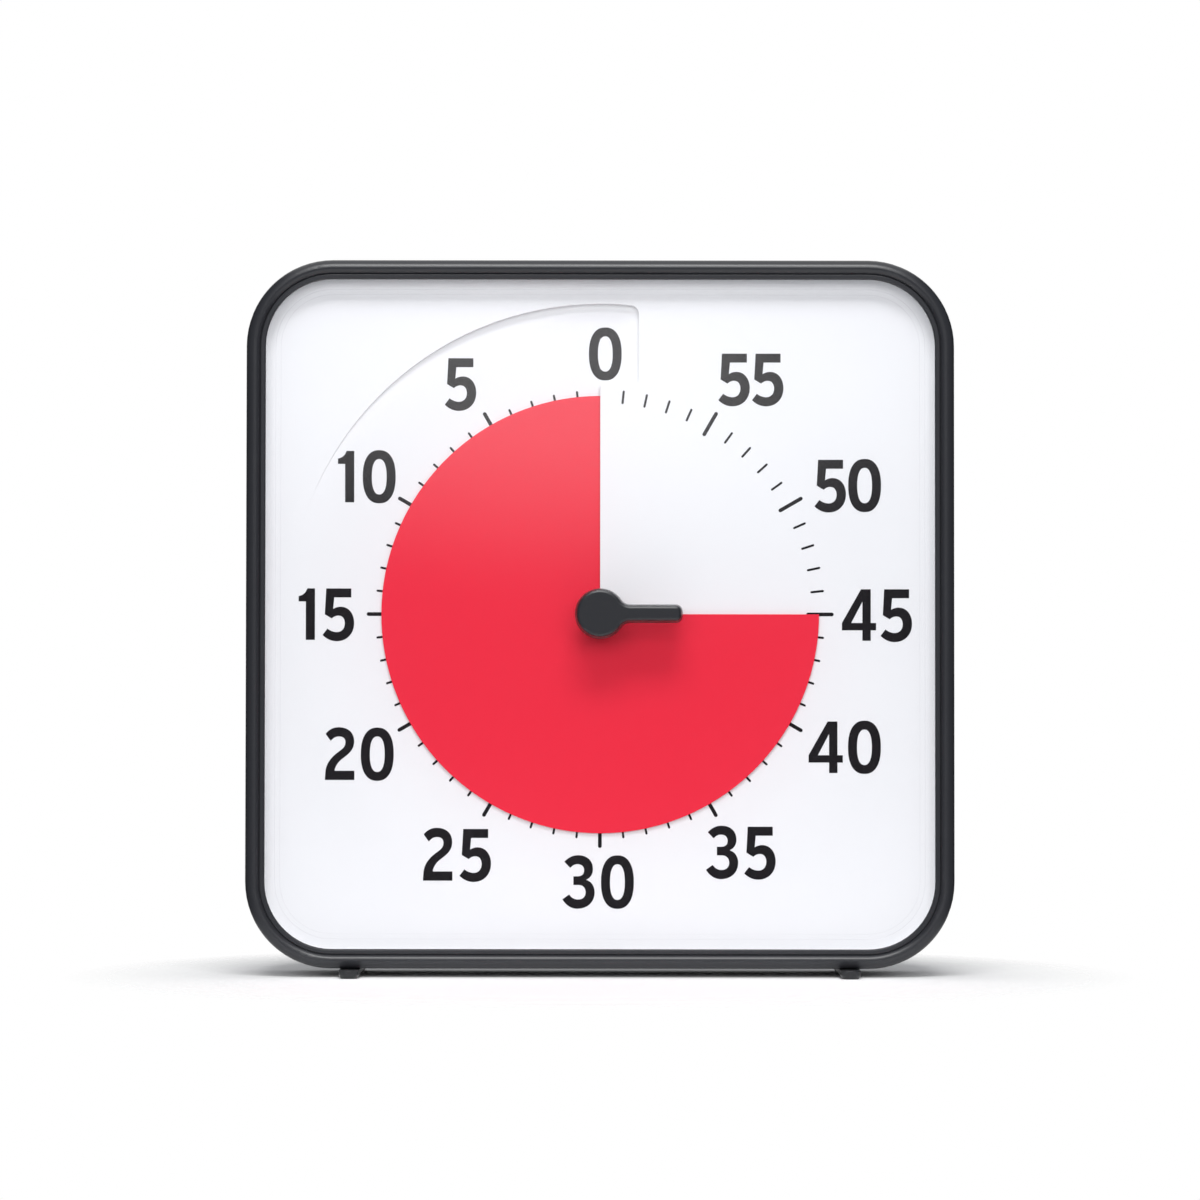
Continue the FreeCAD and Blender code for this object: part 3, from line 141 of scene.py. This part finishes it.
def white_polystyrene(name):
    """High-impact polystyrene, moulded smooth and printed on: a clean white with a low satin
    sheen and a very faint ripple from the tool."""
    material, tree = new_material(name)
    place = add(tree, "ShaderNodeTexCoord")
    within = [(place.outputs["Object"], "Vector")]
    ripple = add(tree, "ShaderNodeTexNoise", within, Scale=1 / (9 * MM), Detail=1.0)
    matt = add(
        tree,
        "ShaderNodeMapRange",
        [(ripple.outputs["Fac"], "Value")],
        To_Min=0.42,
        To_Max=0.52,
    )
    bump = add(
        tree,
        "ShaderNodeBump",
        [(ripple.outputs["Fac"], "Height")],
        Strength=0.05,
        Distance=0.05 * MM,
    )
    shader = add(
        tree,
        "ShaderNodeBsdfPrincipled",
        [(matt.outputs["Result"], "Roughness"), (bump.outputs["Normal"], "Normal")],
        IOR=1.5,
    )
    shader.inputs["Base Color"].default_value = linear("f7f8f8")
    add(tree, "ShaderNodeOutputMaterial", [(shader.outputs["BSDF"], "Surface")])
    return material


def polished_acrylic(name):
    """Clear acrylic, moulded and polished: the dial shows through it unbent, each face mirrors
    the room by a few percent, far more at a slant, and its steps pass a greyer colour: painted
    shade for the dark line that refraction draws along each step."""
    material, tree = new_material(name)
    slant = add(tree, "ShaderNodeLayerWeight", Blend=0.5)
    steep = add(tree, "ShaderNodeMath", [(slant.outputs["Facing"], 0)], operation="POWER")
    steep.inputs[1].default_value = 5.0
    mirror = add(tree, "ShaderNodeMapRange", [(steep.outputs["Value"], "Value")], To_Min=0.06)
    place = add(tree, "ShaderNodeTexCoord")
    sides = add(tree, "ShaderNodeSeparateXYZ", [(place.outputs["Normal"], "Vector")])
    flatness = add(tree, "ShaderNodeMath", [(sides.outputs["Y"], 0)], operation="ABSOLUTE")
    clarity = add(
        tree,
        "ShaderNodeMapRange",
        [(flatness.outputs["Value"], "Value")],
        From_Min=0.6,
        From_Max=0.97,
    )
    # Faces that turn away from the view axis, the walls of the steps, pass a greyer colour: painted
    # shade
    step_shade_tint = add(tree, "ShaderNodeMix", [(clarity.outputs["Result"], "Factor")], data_type="RGBA")
    step_shade_tint.inputs["A"].default_value = linear("f1eef4")
    step_shade_tint.inputs["B"].default_value = linear("fdfdfe")
    clear = add(tree, "ShaderNodeBsdfTransparent", [(step_shade_tint.outputs["Result"], "Color")])
    gloss = add(tree, "ShaderNodeBsdfGlossy", Roughness=0.08)
    both = add(
        tree,
        "ShaderNodeMixShader",
        [(mirror.outputs["Result"], 0), (clear.outputs["BSDF"], 1), (gloss.outputs["BSDF"], 2)],
    )
    add(tree, "ShaderNodeOutputMaterial", [(both.outputs["Shader"], "Surface")])
    return material


def red_vinyl_sheet(name):
    """Calendered red vinyl sheet: even colour, a satin face, and just thin enough for the
    black minute marks under it to show as dark ghosts."""
    material, tree = new_material(name)
    place = add(tree, "ShaderNodeTexCoord")
    within = [(place.outputs["Object"], "Vector")]
    ripple = add(tree, "ShaderNodeTexNoise", within, Scale=1 / (14 * MM), Detail=1.0)
    matt = add(
        tree,
        "ShaderNodeMapRange",
        [(ripple.outputs["Fac"], "Value")],
        To_Min=0.38,
        To_Max=0.46,
    )
    shader = add(tree, "ShaderNodeBsdfPrincipled", [(matt.outputs["Result"], "Roughness")], IOR=1.5)
    shader.inputs["Base Color"].default_value = linear("ff2e48")
    through = add(tree, "ShaderNodeBsdfTransparent", Color=linear("ff5a62"))
    both = add(
        tree,
        "ShaderNodeMixShader",
        [(shader.outputs["BSDF"], 1), (through.outputs["BSDF"], 2)],
        Fac=0.15,
    )
    add(tree, "ShaderNodeOutputMaterial", [(both.outputs["Shader"], "Surface")])
    return material


def printing_ink(name):
    """Pad-printing ink: near-black, laid on thin, a little glossier than the dial."""
    material, tree = new_material(name)
    place = add(tree, "ShaderNodeTexCoord")
    within = [(place.outputs["Object"], "Vector")]
    body = add(tree, "ShaderNodeTexNoise", within, Scale=1 / (0.8 * MM), Detail=2.0)
    matt = add(tree, "ShaderNodeMapRange", [(body.outputs["Fac"], "Value")], To_Min=0.35, To_Max=0.5)
    shader = add(tree, "ShaderNodeBsdfPrincipled", [(matt.outputs["Result"], "Roughness")], IOR=1.5)
    shader.inputs["Base Color"].default_value = linear("1d1b1e")
    shader.inputs["Specular IOR Level"].default_value = 0.2
    add(tree, "ShaderNodeOutputMaterial", [(shader.outputs["BSDF"], "Surface")])
    return material


def plated_metal(name, hex_colour, roughness=0.28, brush_mm=0.2):
    """Plated or drawn metal: short brush lines along one way streak its highlight."""
    material, tree = new_material(name)
    place = add(tree, "ShaderNodeTexCoord")
    stretch = add(tree, "ShaderNodeMapping", [(place.outputs["Object"], "Vector")])
    stretch.inputs["Scale"].default_value = (1.0, 1.0, 0.08)
    lines = add(
        tree,
        "ShaderNodeTexNoise",
        [(stretch.outputs["Vector"], "Vector")],
        Scale=1.0 / (brush_mm * MM),
        Detail=3.0,
    )
    matt = add(
        tree,
        "ShaderNodeMapRange",
        [(lines.outputs["Fac"], "Value")],
        To_Min=roughness - 0.08,
        To_Max=roughness + 0.12,
    )
    shader = add(
        tree, "ShaderNodeBsdfPrincipled", [(matt.outputs["Result"], "Roughness")], Metallic=1.0
    )
    shader.inputs["Base Color"].default_value = linear(hex_colour)
    add(tree, "ShaderNodeOutputMaterial", [(shader.outputs["BSDF"], "Surface")])
    return material


def plain_moulding(name, hex_colour, roughness=0.4, grain_mm=0.6):
    """An inner moulding or coating: even colour with a fine unevenness in its gloss."""
    material, tree = new_material(name)
    place = add(tree, "ShaderNodeTexCoord")
    within = [(place.outputs["Object"], "Vector")]
    body = add(tree, "ShaderNodeTexNoise", within, Scale=1 / (grain_mm * MM), Detail=2.0)
    matt = add(
        tree,
        "ShaderNodeMapRange",
        [(body.outputs["Fac"], "Value")],
        To_Min=roughness - 0.06,
        To_Max=roughness + 0.08,
    )
    bump = add(
        tree,
        "ShaderNodeBump",
        [(body.outputs["Fac"], "Height")],
        Strength=0.1,
        Distance=0.02 * MM,
    )
    shader = add(
        tree,
        "ShaderNodeBsdfPrincipled",
        [(matt.outputs["Result"], "Roughness"), (bump.outputs["Normal"], "Normal")],
    )
    shader.inputs["Base Color"].default_value = linear(hex_colour)
    add(tree, "ShaderNodeOutputMaterial", [(shader.outputs["BSDF"], "Surface")])
    return material


CASE_ABS = spark_textured_abs("charcoal_abs_spark_textured", "2a2b2f")
KNOB_ABS = spark_textured_abs("charcoal_abs_satin", "242529", roughness=0.36, edge_mm=0.3)
FOOT_ABS = spark_textured_abs("black_abs_feet", "222326")
DIAL_WHITE = white_polystyrene("white_polystyrene_satin")
ACRYLIC = polished_acrylic("clear_acrylic_polished")
RED_VINYL = red_vinyl_sheet("red_vinyl_sheet")
INK = printing_ink("black_pad_print_ink")
STEEL = plated_metal("zinc_plated_steel", "b9bcc0")
SPRING_STEEL = plated_metal("nickel_plated_spring_steel", "c4c2bb", roughness=0.22)
BRASS = plated_metal("drawn_brass", "c9a24c")
SOFT_IRON = plated_metal("annealed_soft_iron", "8d8f93", roughness=0.4)
ACETAL = plain_moulding("natural_acetal", "e9e7dd", roughness=0.35)
SMOKE_SHELL = plain_moulding("smoke_grey_abs", "4b4e52", roughness=0.3)
FERRITE = plain_moulding("bonded_ferrite", "3d3a38", roughness=0.6)
COPPER = plain_moulding("enamelled_copper_wire", "a35a2a", roughness=0.25, grain_mm=0.15)
SOLDER_MASK = plain_moulding("green_solder_mask", "1f5b39", roughness=0.3)
EPOXY = plain_moulding("black_epoxy_drop", "17181a", roughness=0.35)
CELL_SLEEVE = plain_moulding("printed_cell_sleeve", "30343b", roughness=0.25)

FINISHES = {
    CASE_ABS: ("front_bezel", "rear_housing", "battery_door"),
    KNOB_ABS: ("setting_knob", "sound_switch_cap"),
    FOOT_ABS: ("foot_left", "foot_right"),
    DIAL_WHITE: ("dial_plate",),
    ACRYLIC: ("lens",),
    RED_VINYL: ("red_disc",),
    STEEL: (
        "spindle",
        "foot_screw_left",
        "foot_screw_right",
        "case_screws",
        "drive_screws",
        "quartz_crystal",
        "sound_switch_base",
    ),
    SPRING_STEEL: ("clutch_spring", "negative_spring", "negative_contact", "positive_contact"),
    BRASS: ("buzzer_disc", "alarm_contact_leaf"),
    SOFT_IRON: ("stator", "coil_core"),
    ACETAL: (
        "disc_hub",
        "alarm_cam",
        "centre_wheel",
        "third_wheel",
        "fourth_wheel",
        "fifth_wheel",
        "rotor_pinion",
        "coil_bobbin",
    ),
    SMOKE_SHELL: ("drive_plate", "drive_cover"),
    FERRITE: ("rotor_magnet",),
    COPPER: ("coil_winding",),
    SOLDER_MASK: ("circuit_board",),
    EPOXY: ("timer_chip",),
    CELL_SLEEVE: ("battery_cell",),
}
for material, names in FINISHES.items():
    for name in names:
        slots = NODES[name].data.materials
        slots.clear()
        slots.append(material)


def path(start, *legs):
    """Points along joined cubic curves; each leg is its two control points and its end."""
    points = [start]
    for p1, p2, p3 in legs:
        p0 = points[-1]
        for i in range(1, LEG_STEPS + 1):
            t = i / LEG_STEPS
            weights = ((1 - t) ** 3, 3 * t * (1 - t) ** 2, 3 * t * t * (1 - t), t**3)
            pulls = list(zip(weights, (p0, p1, p2, p3)))
            points.append(tuple(sum(w * p[k] for w, p in pulls) for k in (0, 1)))
    return points


def band(outer, inner):
    """Four-sided cells between two lines of as many points."""
    return [[outer[i], outer[i + 1], inner[i + 1], inner[i]] for i in range(len(outer) - 1)]


def oval(half_width, half_height):
    """Points round an oval a little squarer than an ellipse."""
    points = []
    for i in range(OVAL_STEPS + 1):
        angle = 2 * math.pi * i / OVAL_STEPS
        across = math.copysign(abs(math.cos(angle)) ** (2 / OVAL_POWER), math.cos(angle))
        up = math.copysign(abs(math.sin(angle)) ** (2 / OVAL_POWER), math.sin(angle))
        points.append((ZERO_WIDTH / 2 + half_width * across, DIGIT_HEIGHT / 2 + half_height * up))
    return points


def digit_zero():
    """A tall ring."""
    return band(oval(ZERO_WIDTH / 2, 7.19), oval(2.0, 4.79))


def digit_one():
    """A stem with a small curved flag."""
    stem = [(1.94, 0), (4.39, 0), (4.39, DIGIT_HEIGHT), (2.32, DIGIT_HEIGHT), (1.94, 13.05)]
    top = path((1.94, 13.05), ((1.55, 12.45), (0.95, 12.0), (0, 11.82)))
    foot = path((1.94, 10.38), ((1.3, 10.38), (0.65, 10.38), (0, 10.38)))
    return [stem] + band(top, foot)


def digit_two():
    """A hook that swings down into a flat foot."""
    outer = path(
        (0.17, 12.44),
        ((1.0, 13.55), (2.2, 14.22), (3.75, 14.22)),
        ((6.2, 14.22), (7.87, 12.8), (7.87, 10.4)),
        ((7.87, 7.9), (6.2, 6.9), (4.46, 5.55)),
        ((3.5, 4.75), (2.85, 3.75), (2.63, 2.48)),
    )
    inner = path(
        (1.55, 10.53),
        ((2.1, 11.2), (2.8, 11.74), (3.75, 11.74)),
        ((4.8, 11.74), (5.51, 11.2), (5.51, 10.19)),
        ((5.51, 8.3), (3.9, 8.1), (2.14, 6.32)),
        ((1.0, 5.1), (0.35, 3.9), (0.17, 2.48)),
    )
    foot = [(0, 0), (7.95, 0), (7.95, 2.48), (2.63, 2.48), (0.17, 2.48)]
    return band(outer, inner) + [foot]


def digit_three():
    """Two bowls that meet in a short bar."""
    upper_outer = path(
        (0.5, 12.39),
        ((1.5, 13.5), (2.7, 14.17), (4.26, 14.17)),
        ((6.7, 14.17), (8.24, 12.7), (8.24, 10.43)),
        ((8.24, 9.0), (7.5, 8.0), (6.4, 7.56)),
    )
    upper_inner = path(
        (2.12, 10.74),
        ((2.7, 11.4), (3.3, 11.77), (4.03, 11.77)),
        ((5.2, 11.77), (5.86, 11.1), (5.86, 10.12)),
        ((5.86, 9.0), (5.2, 8.49), (4.03, 8.49)),
    )
    lower_outer = path(
        (6.4, 7.56),
        ((7.9, 7.1), (8.71, 5.8), (8.71, 4.15)),
        ((8.71, 1.5), (6.7, -0.23), (4.03, -0.23)),
        ((2.3, -0.23), (0.9, 0.8), (0, 2.29)),
    )
    lower_inner = path(
        (4.34, 6.17),
        ((5.6, 6.17), (6.27, 5.3), (6.27, 4.23)),
        ((6.27, 3.0), (5.5, 2.25), (4.26, 2.25)),
        ((3.1, 2.25), (2.4, 2.8), (1.83, 3.61)),
    )
    bar = [(2.97, 8.49), (2.97, 6.17), (4.34, 6.17), (6.4, 7.56), (4.03, 8.49)]
    return band(upper_outer, upper_inner) + band(lower_outer, lower_inner) + [bar]


def digit_four():
    """A slope and a stem, crossed by a bar."""
    slope = [(0, 4.8), (2.51, 4.8), (5.53, 10.53), (5.53, DIGIT_HEIGHT), (5.14, DIGIT_HEIGHT)]
    stem = [(5.53, 0), (7.78, 0), (7.78, DIGIT_HEIGHT), (5.53, DIGIT_HEIGHT)]
    left_bar = [(0, 2.82), (5.53, 2.82), (5.53, 4.8), (0, 4.8)]
    right_bar = [(7.78, 2.82), (9.22, 2.82), (9.22, 4.8), (7.78, 4.8)]
    return [slope, stem, left_bar, right_bar]


def digit_five():
    """A flat top and a short stem over an open bowl."""
    top = [(0.85, 11.49), (7.71, 11.49), (7.71, DIGIT_HEIGHT), (0.96, DIGIT_HEIGHT)]
    stem = [(0.85, 11.49), (0.68, 8.36), (2.84, 8.36), (3.13, 11.49)]
    notch = [(0.68, 8.36), (0.6, 6.91), (2.46, 5.79), (2.84, 8.36)]
    outer = path(
        (2.84, 8.36),
        ((3.45, 8.75), (4.2, 8.97), (4.92, 8.97)),
        ((6.95, 8.97), (8.5, 7.2), (8.5, 4.56)),
        ((8.5, 1.6), (6.5, -0.36), (3.8, -0.36)),
        ((2.3, -0.36), (0.9, 0.35), (0, 1.32)),
    )
    inner = path(
        (2.46, 5.79),
        ((3.0, 6.3), (3.6, 6.57), (4.25, 6.57)),
        ((5.35, 6.57), (5.97, 5.7), (5.97, 4.45)),
        ((5.97, 3.0), (5.1, 2.1), (3.8, 2.1)),
        ((2.9, 2.1), (2.0, 2.5), (1.3, 3.04)),
    )
    return [top, stem, notch] + band(outer, inner)


# Each digit's cells and width, in millimetres
DIGITS = {
    "0": (digit_zero(), ZERO_WIDTH),
    "1": (digit_one(), 4.39),
    "2": (digit_two(), 7.95),
    "3": (digit_three(), 8.71),
    "4": (digit_four(), 9.22),
    "5": (digit_five(), 8.5),
}


def print_on_dial(name, cells):
    """Makes a sheet of ink from flat cells, cut fine enough to follow the dial, and lays it on
    the dial's face."""
    mesh = bpy.data.meshes.new(name)
    shape = bmesh.new()
    for cell in cells:
        corners = [(CENTRE_X + x * MM, FOREMOST_Y, CENTRE_Z + z * MM) for x, z in cell]
        shape.faces.new([shape.verts.new(corner) for corner in corners])
    for _ in range(INK_CUTS):
        long_edges = [e for e in shape.edges if e.calc_length() > INK_GRID * MM]
        if long_edges:
            bmesh.ops.subdivide_edges(shape, edges=long_edges, cuts=1, use_grid_fill=True)
    bmesh.ops.triangulate(shape, faces=shape.faces)
    bmesh.ops.recalc_face_normals(shape, faces=shape.faces)
    shape.faces.ensure_lookup_table()
    if shape.faces[0].normal.y > 0:
        bmesh.ops.reverse_faces(shape, faces=shape.faces)
    shape.to_mesh(mesh)
    shape.free()
    flat = bpy.data.objects.new(name + "_flat", mesh)
    bpy.context.scene.collection.objects.link(flat)
    lay = flat.modifiers.new("lay", "SHRINKWRAP")
    lay.target = NODES["dial_plate"]
    lay.wrap_method = "PROJECT"
    lay.use_project_y = True
    lay.use_positive_direction = True
    lay.offset = INK_LIFT * MM
    bpy.context.view_layer.update()
    depsgraph = bpy.context.evaluated_depsgraph_get()
    laid = bpy.data.meshes.new_from_object(flat.evaluated_get(depsgraph))
    bpy.data.objects.remove(flat)
    laid.materials.append(INK)
    piece = bpy.data.objects.new(name, laid)
    bpy.context.scene.collection.objects.link(piece)
    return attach(piece, "case")


def tick_cells(minute):
    """A minute mark with round ends; every fifth is longer and bolder."""
    inner, outer, width = MINOR_INNER_R, MINOR_OUTER_R, MINOR_WIDTH
    if minute % 5 == 0:
        inner, outer, width = MAJOR_INNER_R, MAJOR_OUTER_R, MAJOR_WIDTH
    half = width / 2
    angle = math.radians(minute * 360 / MINUTES)
    out = Vector((-math.sin(angle), math.cos(angle)))
    side = Vector((-out.y, out.x))
    outline = []
    for radius, turn in ((outer - half, 0), (inner + half, math.pi)):
        for i in range(TICK_END_SIDES + 1):
            a = turn + math.pi * i / TICK_END_SIDES
            point = out * radius - side * (half * math.cos(a)) + out * (half * math.sin(a))
            outline.append(tuple(point))
    return [outline]


def place_number(text, left, bottom, gap):
    """The cells of a number whose first digit starts at left and stands on bottom."""
    cells = []
    x = left
    for character in text:
        shape, width = DIGITS[character]
        for cell in shape:
            cells.append([(x + u, bottom + v) for u, v in cell])
        x += width + gap
    return cells


# Each number's first digit: left edge and foot, from the dial's centre, and the space after it
NUMBERS = {
    "0": (-3.1, 63.6, 0.0),
    "5": (-42.1, 55.4, 0.0),
    "10": (-70.9, 30.2, 2.3),
    "15": (-81.4, -7.0, 2.05),
    "20": (-74.2, -44.8, 1.7),
    "25": (-47.7, -71.9, 1.9),
    "30": (-10.1, -79.2, 1.7),
    "35": (28.6, -71.2, 1.6),
    "40": (56.3, -42.8, 1.4),
    "45": (65.3, -7.1, 1.2),
    "50": (57.9, 27.9, 0.6),
    "55": (31.9, 56.6, 0.6),
}
for text, (left, bottom, gap) in NUMBERS.items():
    print_on_dial("number_" + text, place_number(text, left, bottom, gap))
for minute in range(1, MINUTES):
    kind = "long_mark_" if minute % 5 == 0 else "minute_mark_"
    print_on_dial(kind + str(minute), tick_cells(minute))

# The camera: a long lens 1.2 m off and 70 mm above the table, tipped up a little
PHOTO_PIXELS = 1200
SENSOR = 36.0
PHOTO_WIDTH = 322.15 * MM
CAMERA_DISTANCE = 1.2
CAMERA_HEIGHT = 70.0 * MM
DIAL_CENTRE_DROP = 13.9
CAMERA_ROLL = -0.06
lens_mm = SENSOR * CAMERA_DISTANCE / PHOTO_WIDTH
bezel_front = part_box("front_bezel")[0].y
dial_depth = CAMERA_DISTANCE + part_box("dial_plate")[0].y - bezel_front
rise_to_dial = math.atan2(CENTRE_Z - CAMERA_HEIGHT, dial_depth)
drop_in_view = math.atan(DIAL_CENTRE_DROP / PHOTO_PIXELS * SENSOR / lens_mm)
camera_data = bpy.data.cameras.new("camera")
camera_data.lens = lens_mm
camera_data.sensor_width = SENSOR
camera_data.clip_start = 0.05
camera_data.clip_end = 50
camera = bpy.data.objects.new("camera", camera_data)
camera.location = (CENTRE_X, bezel_front - CAMERA_DISTANCE, CAMERA_HEIGHT)
camera.rotation_euler = (
    math.pi / 2 + rise_to_dial + drop_in_view,
    math.radians(CAMERA_ROLL),
    0,
)
bpy.context.scene.collection.objects.link(camera)
bpy.context.scene.camera = camera


LAMP_TARGET = (0, 0, 0.1)


def panel(name, corners, material):
    """A flat sheet of the studio."""
    mesh = bpy.data.meshes.new(name)
    mesh.from_pydata(corners, [], [tuple(range(len(corners)))])
    mesh.materials.append(material)
    thing = bpy.data.objects.new(name, mesh)
    bpy.context.scene.collection.objects.link(thing)
    return thing


def softbox(name, place, size, watts):
    """A soft lamp that faces the timer."""
    data = bpy.data.lights.new(name, "AREA")
    data.shape = "RECTANGLE"
    data.size, data.size_y = size
    data.energy = watts
    light = bpy.data.objects.new(name, data)
    light.location = place
    light.rotation_euler = (Vector(LAMP_TARGET) - Vector(place)).to_track_quat("-Z", "Y").to_euler()
    light.visible_camera = False
    bpy.context.scene.collection.objects.link(light)
    return light


TABLE_CLEAR_FROM = 98 * MM
TABLE_CLEAR_BY = 145 * MM


def table_white(name):
    """A white laminate table: matt, lost in the white of the room a hand's width away, and
    clear from below so that the underside can be seen."""
    material, tree = new_material(name)
    place = add(tree, "ShaderNodeTexCoord")
    within = [(place.outputs["Object"], "Vector")]
    mottle = add(tree, "ShaderNodeTexNoise", within, Scale=1 / (4 * MM), Detail=2.0)
    matt = add(
        tree,
        "ShaderNodeMapRange",
        [(mottle.outputs["Fac"], "Value")],
        To_Min=0.75,
        To_Max=0.85,
    )
    shader = add(tree, "ShaderNodeBsdfPrincipled", [(matt.outputs["Result"], "Roughness")])
    shader.inputs["Base Color"].default_value = linear("fafafa")
    shader.inputs["Specular IOR Level"].default_value = 0.1
    reach = add(tree, "ShaderNodeVectorMath", [(place.outputs["Object"], 0)], operation="LENGTH")
    fade = add(
        tree,
        "ShaderNodeMapRange",
        [(reach.outputs["Value"], "Value")],
        From_Min=TABLE_CLEAR_FROM,
        From_Max=TABLE_CLEAR_BY,
    )
    side = add(tree, "ShaderNodeNewGeometry")
    open_below = add(
        tree,
        "ShaderNodeMath",
        [(fade.outputs["Result"], 0), (side.outputs["Backfacing"], 1)],
        operation="MAXIMUM",
    )
    clear = add(tree, "ShaderNodeBsdfTransparent")
    both = add(
        tree,
        "ShaderNodeMixShader",
        [(open_below.outputs["Value"], 0), (shader.outputs["BSDF"], 1), (clear.outputs["BSDF"], 2)],
    )
    add(tree, "ShaderNodeOutputMaterial", [(both.outputs["Shader"], "Surface")])
    return material


TABLE_HALF = 0.35
TABLE_CORNERS = [(-1, -1), (1, -1), (1, 1), (-1, 1)]
panel(
    "table_top",
    [(x * TABLE_HALF, y * TABLE_HALF, 0) for x, y in TABLE_CORNERS],
    table_white("white_laminate"),
)


def black_card(name):
    """Matt black card: it keeps the polished lens and the case's sides from showing the white
    room."""
    material, tree = new_material(name)
    shader = add(tree, "ShaderNodeBsdfDiffuse", Color=linear("0c0c0d"))
    add(tree, "ShaderNodeOutputMaterial", [(shader.outputs["BSDF"], "Surface")])
    return material


def card_with_soft_hole(name):
    """Black card with a soft-edged oval hole, whose glow veils the upper half of the lens. The
    hole is twice as wide as it is tall."""
    material, tree = new_material(name)
    place = add(tree, "ShaderNodeTexCoord")
    oval_place = add(tree, "ShaderNodeMapping", [(place.outputs["Object"], "Vector")])
    oval_place.inputs["Location"].default_value = (0.01, 0, -0.27)
    oval_place.inputs["Scale"].default_value = (0.5, 0, 1)
    reach = add(tree, "ShaderNodeVectorMath", [(oval_place.outputs["Vector"], 0)], operation="LENGTH")
    opening = add(
        tree,
        "ShaderNodeMapRange",
        [(reach.outputs["Value"], "Value")],
        From_Min=0.04,
        From_Max=0.125,
        To_Min=1.0,
        To_Max=0.0,
    )
    black = add(tree, "ShaderNodeBsdfDiffuse", Color=linear("0c0c0d"))
    clear = add(tree, "ShaderNodeBsdfTransparent")
    both = add(
        tree,
        "ShaderNodeMixShader",
        [(opening.outputs["Result"], 0), (black.outputs["BSDF"], 1), (clear.outputs["BSDF"], 2)],
    )
    add(tree, "ShaderNodeOutputMaterial", [(both.outputs["Shader"], "Surface")])
    return material


HOLED_CARD = card_with_soft_hole("black_card_with_soft_hole")
BLACK_CARD = black_card("matt_black_card")
CARD_Y = -1.34
CARD_OUTLINE = [(-0.5, -0.4), (0.5, -0.4), (0.5, 0.5), (-0.5, 0.5)]
SIDE_X = 0.5
SIDE_OUTLINE = [(-0.9, -0.3), (0.7, -0.3), (0.7, 0.9), (-0.9, 0.9)]
cards = [
    panel("front_card", [(x, CARD_Y, z) for x, z in CARD_OUTLINE], HOLED_CARD),
    panel("left_card", [(-SIDE_X, y, z) for y, z in SIDE_OUTLINE], BLACK_CARD),
    panel("right_card", [(SIDE_X, y, z) for y, z in SIDE_OUTLINE], BLACK_CARD),
]
for card in cards:
    card.visible_camera = False
    card.visible_diffuse = False
    card.visible_shadow = False

softbox("key_softbox", (0, -0.8, 1.1), (0.7, 0.32), 9.3)
fill = softbox("front_softbox", (0, -1.6, 0.5), (1.6, 0.6), 15.5)
fill.visible_glossy = False

# The room: even soft light on the timer, and plain white wherever the camera, a gloss or a
# clear piece looks past it
AMBIENT = 0.45
world = bpy.data.worlds.new("white_studio")
bpy.context.scene.world = world
world.use_nodes = True
sky = world.node_tree
sky.nodes.clear()
rays = add(sky, "ShaderNodeLightPath")
seen = add(
    sky,
    "ShaderNodeMath",
    [(rays.outputs["Is Camera Ray"], 0), (rays.outputs["Is Glossy Ray"], 1)],
    operation="MAXIMUM",
)
seen = add(
    sky,
    "ShaderNodeMath",
    [(seen.outputs["Value"], 0), (rays.outputs["Is Transmission Ray"], 1)],
    operation="MAXIMUM",
)
white = add(sky, "ShaderNodeBackground", Color=linear("ffffff"), Strength=1.0)
soft = add(sky, "ShaderNodeBackground", Color=linear("f4f6fa"), Strength=AMBIENT)
mixed = add(
    sky,
    "ShaderNodeMixShader",
    [(seen.outputs["Value"], 0), (soft.outputs["Background"], 1), (white.outputs["Background"], 2)],
)
add(sky, "ShaderNodeOutputWorld", [(mixed.outputs["Shader"], "Surface")])

bpy.context.scene.view_settings.view_transform = "Standard"
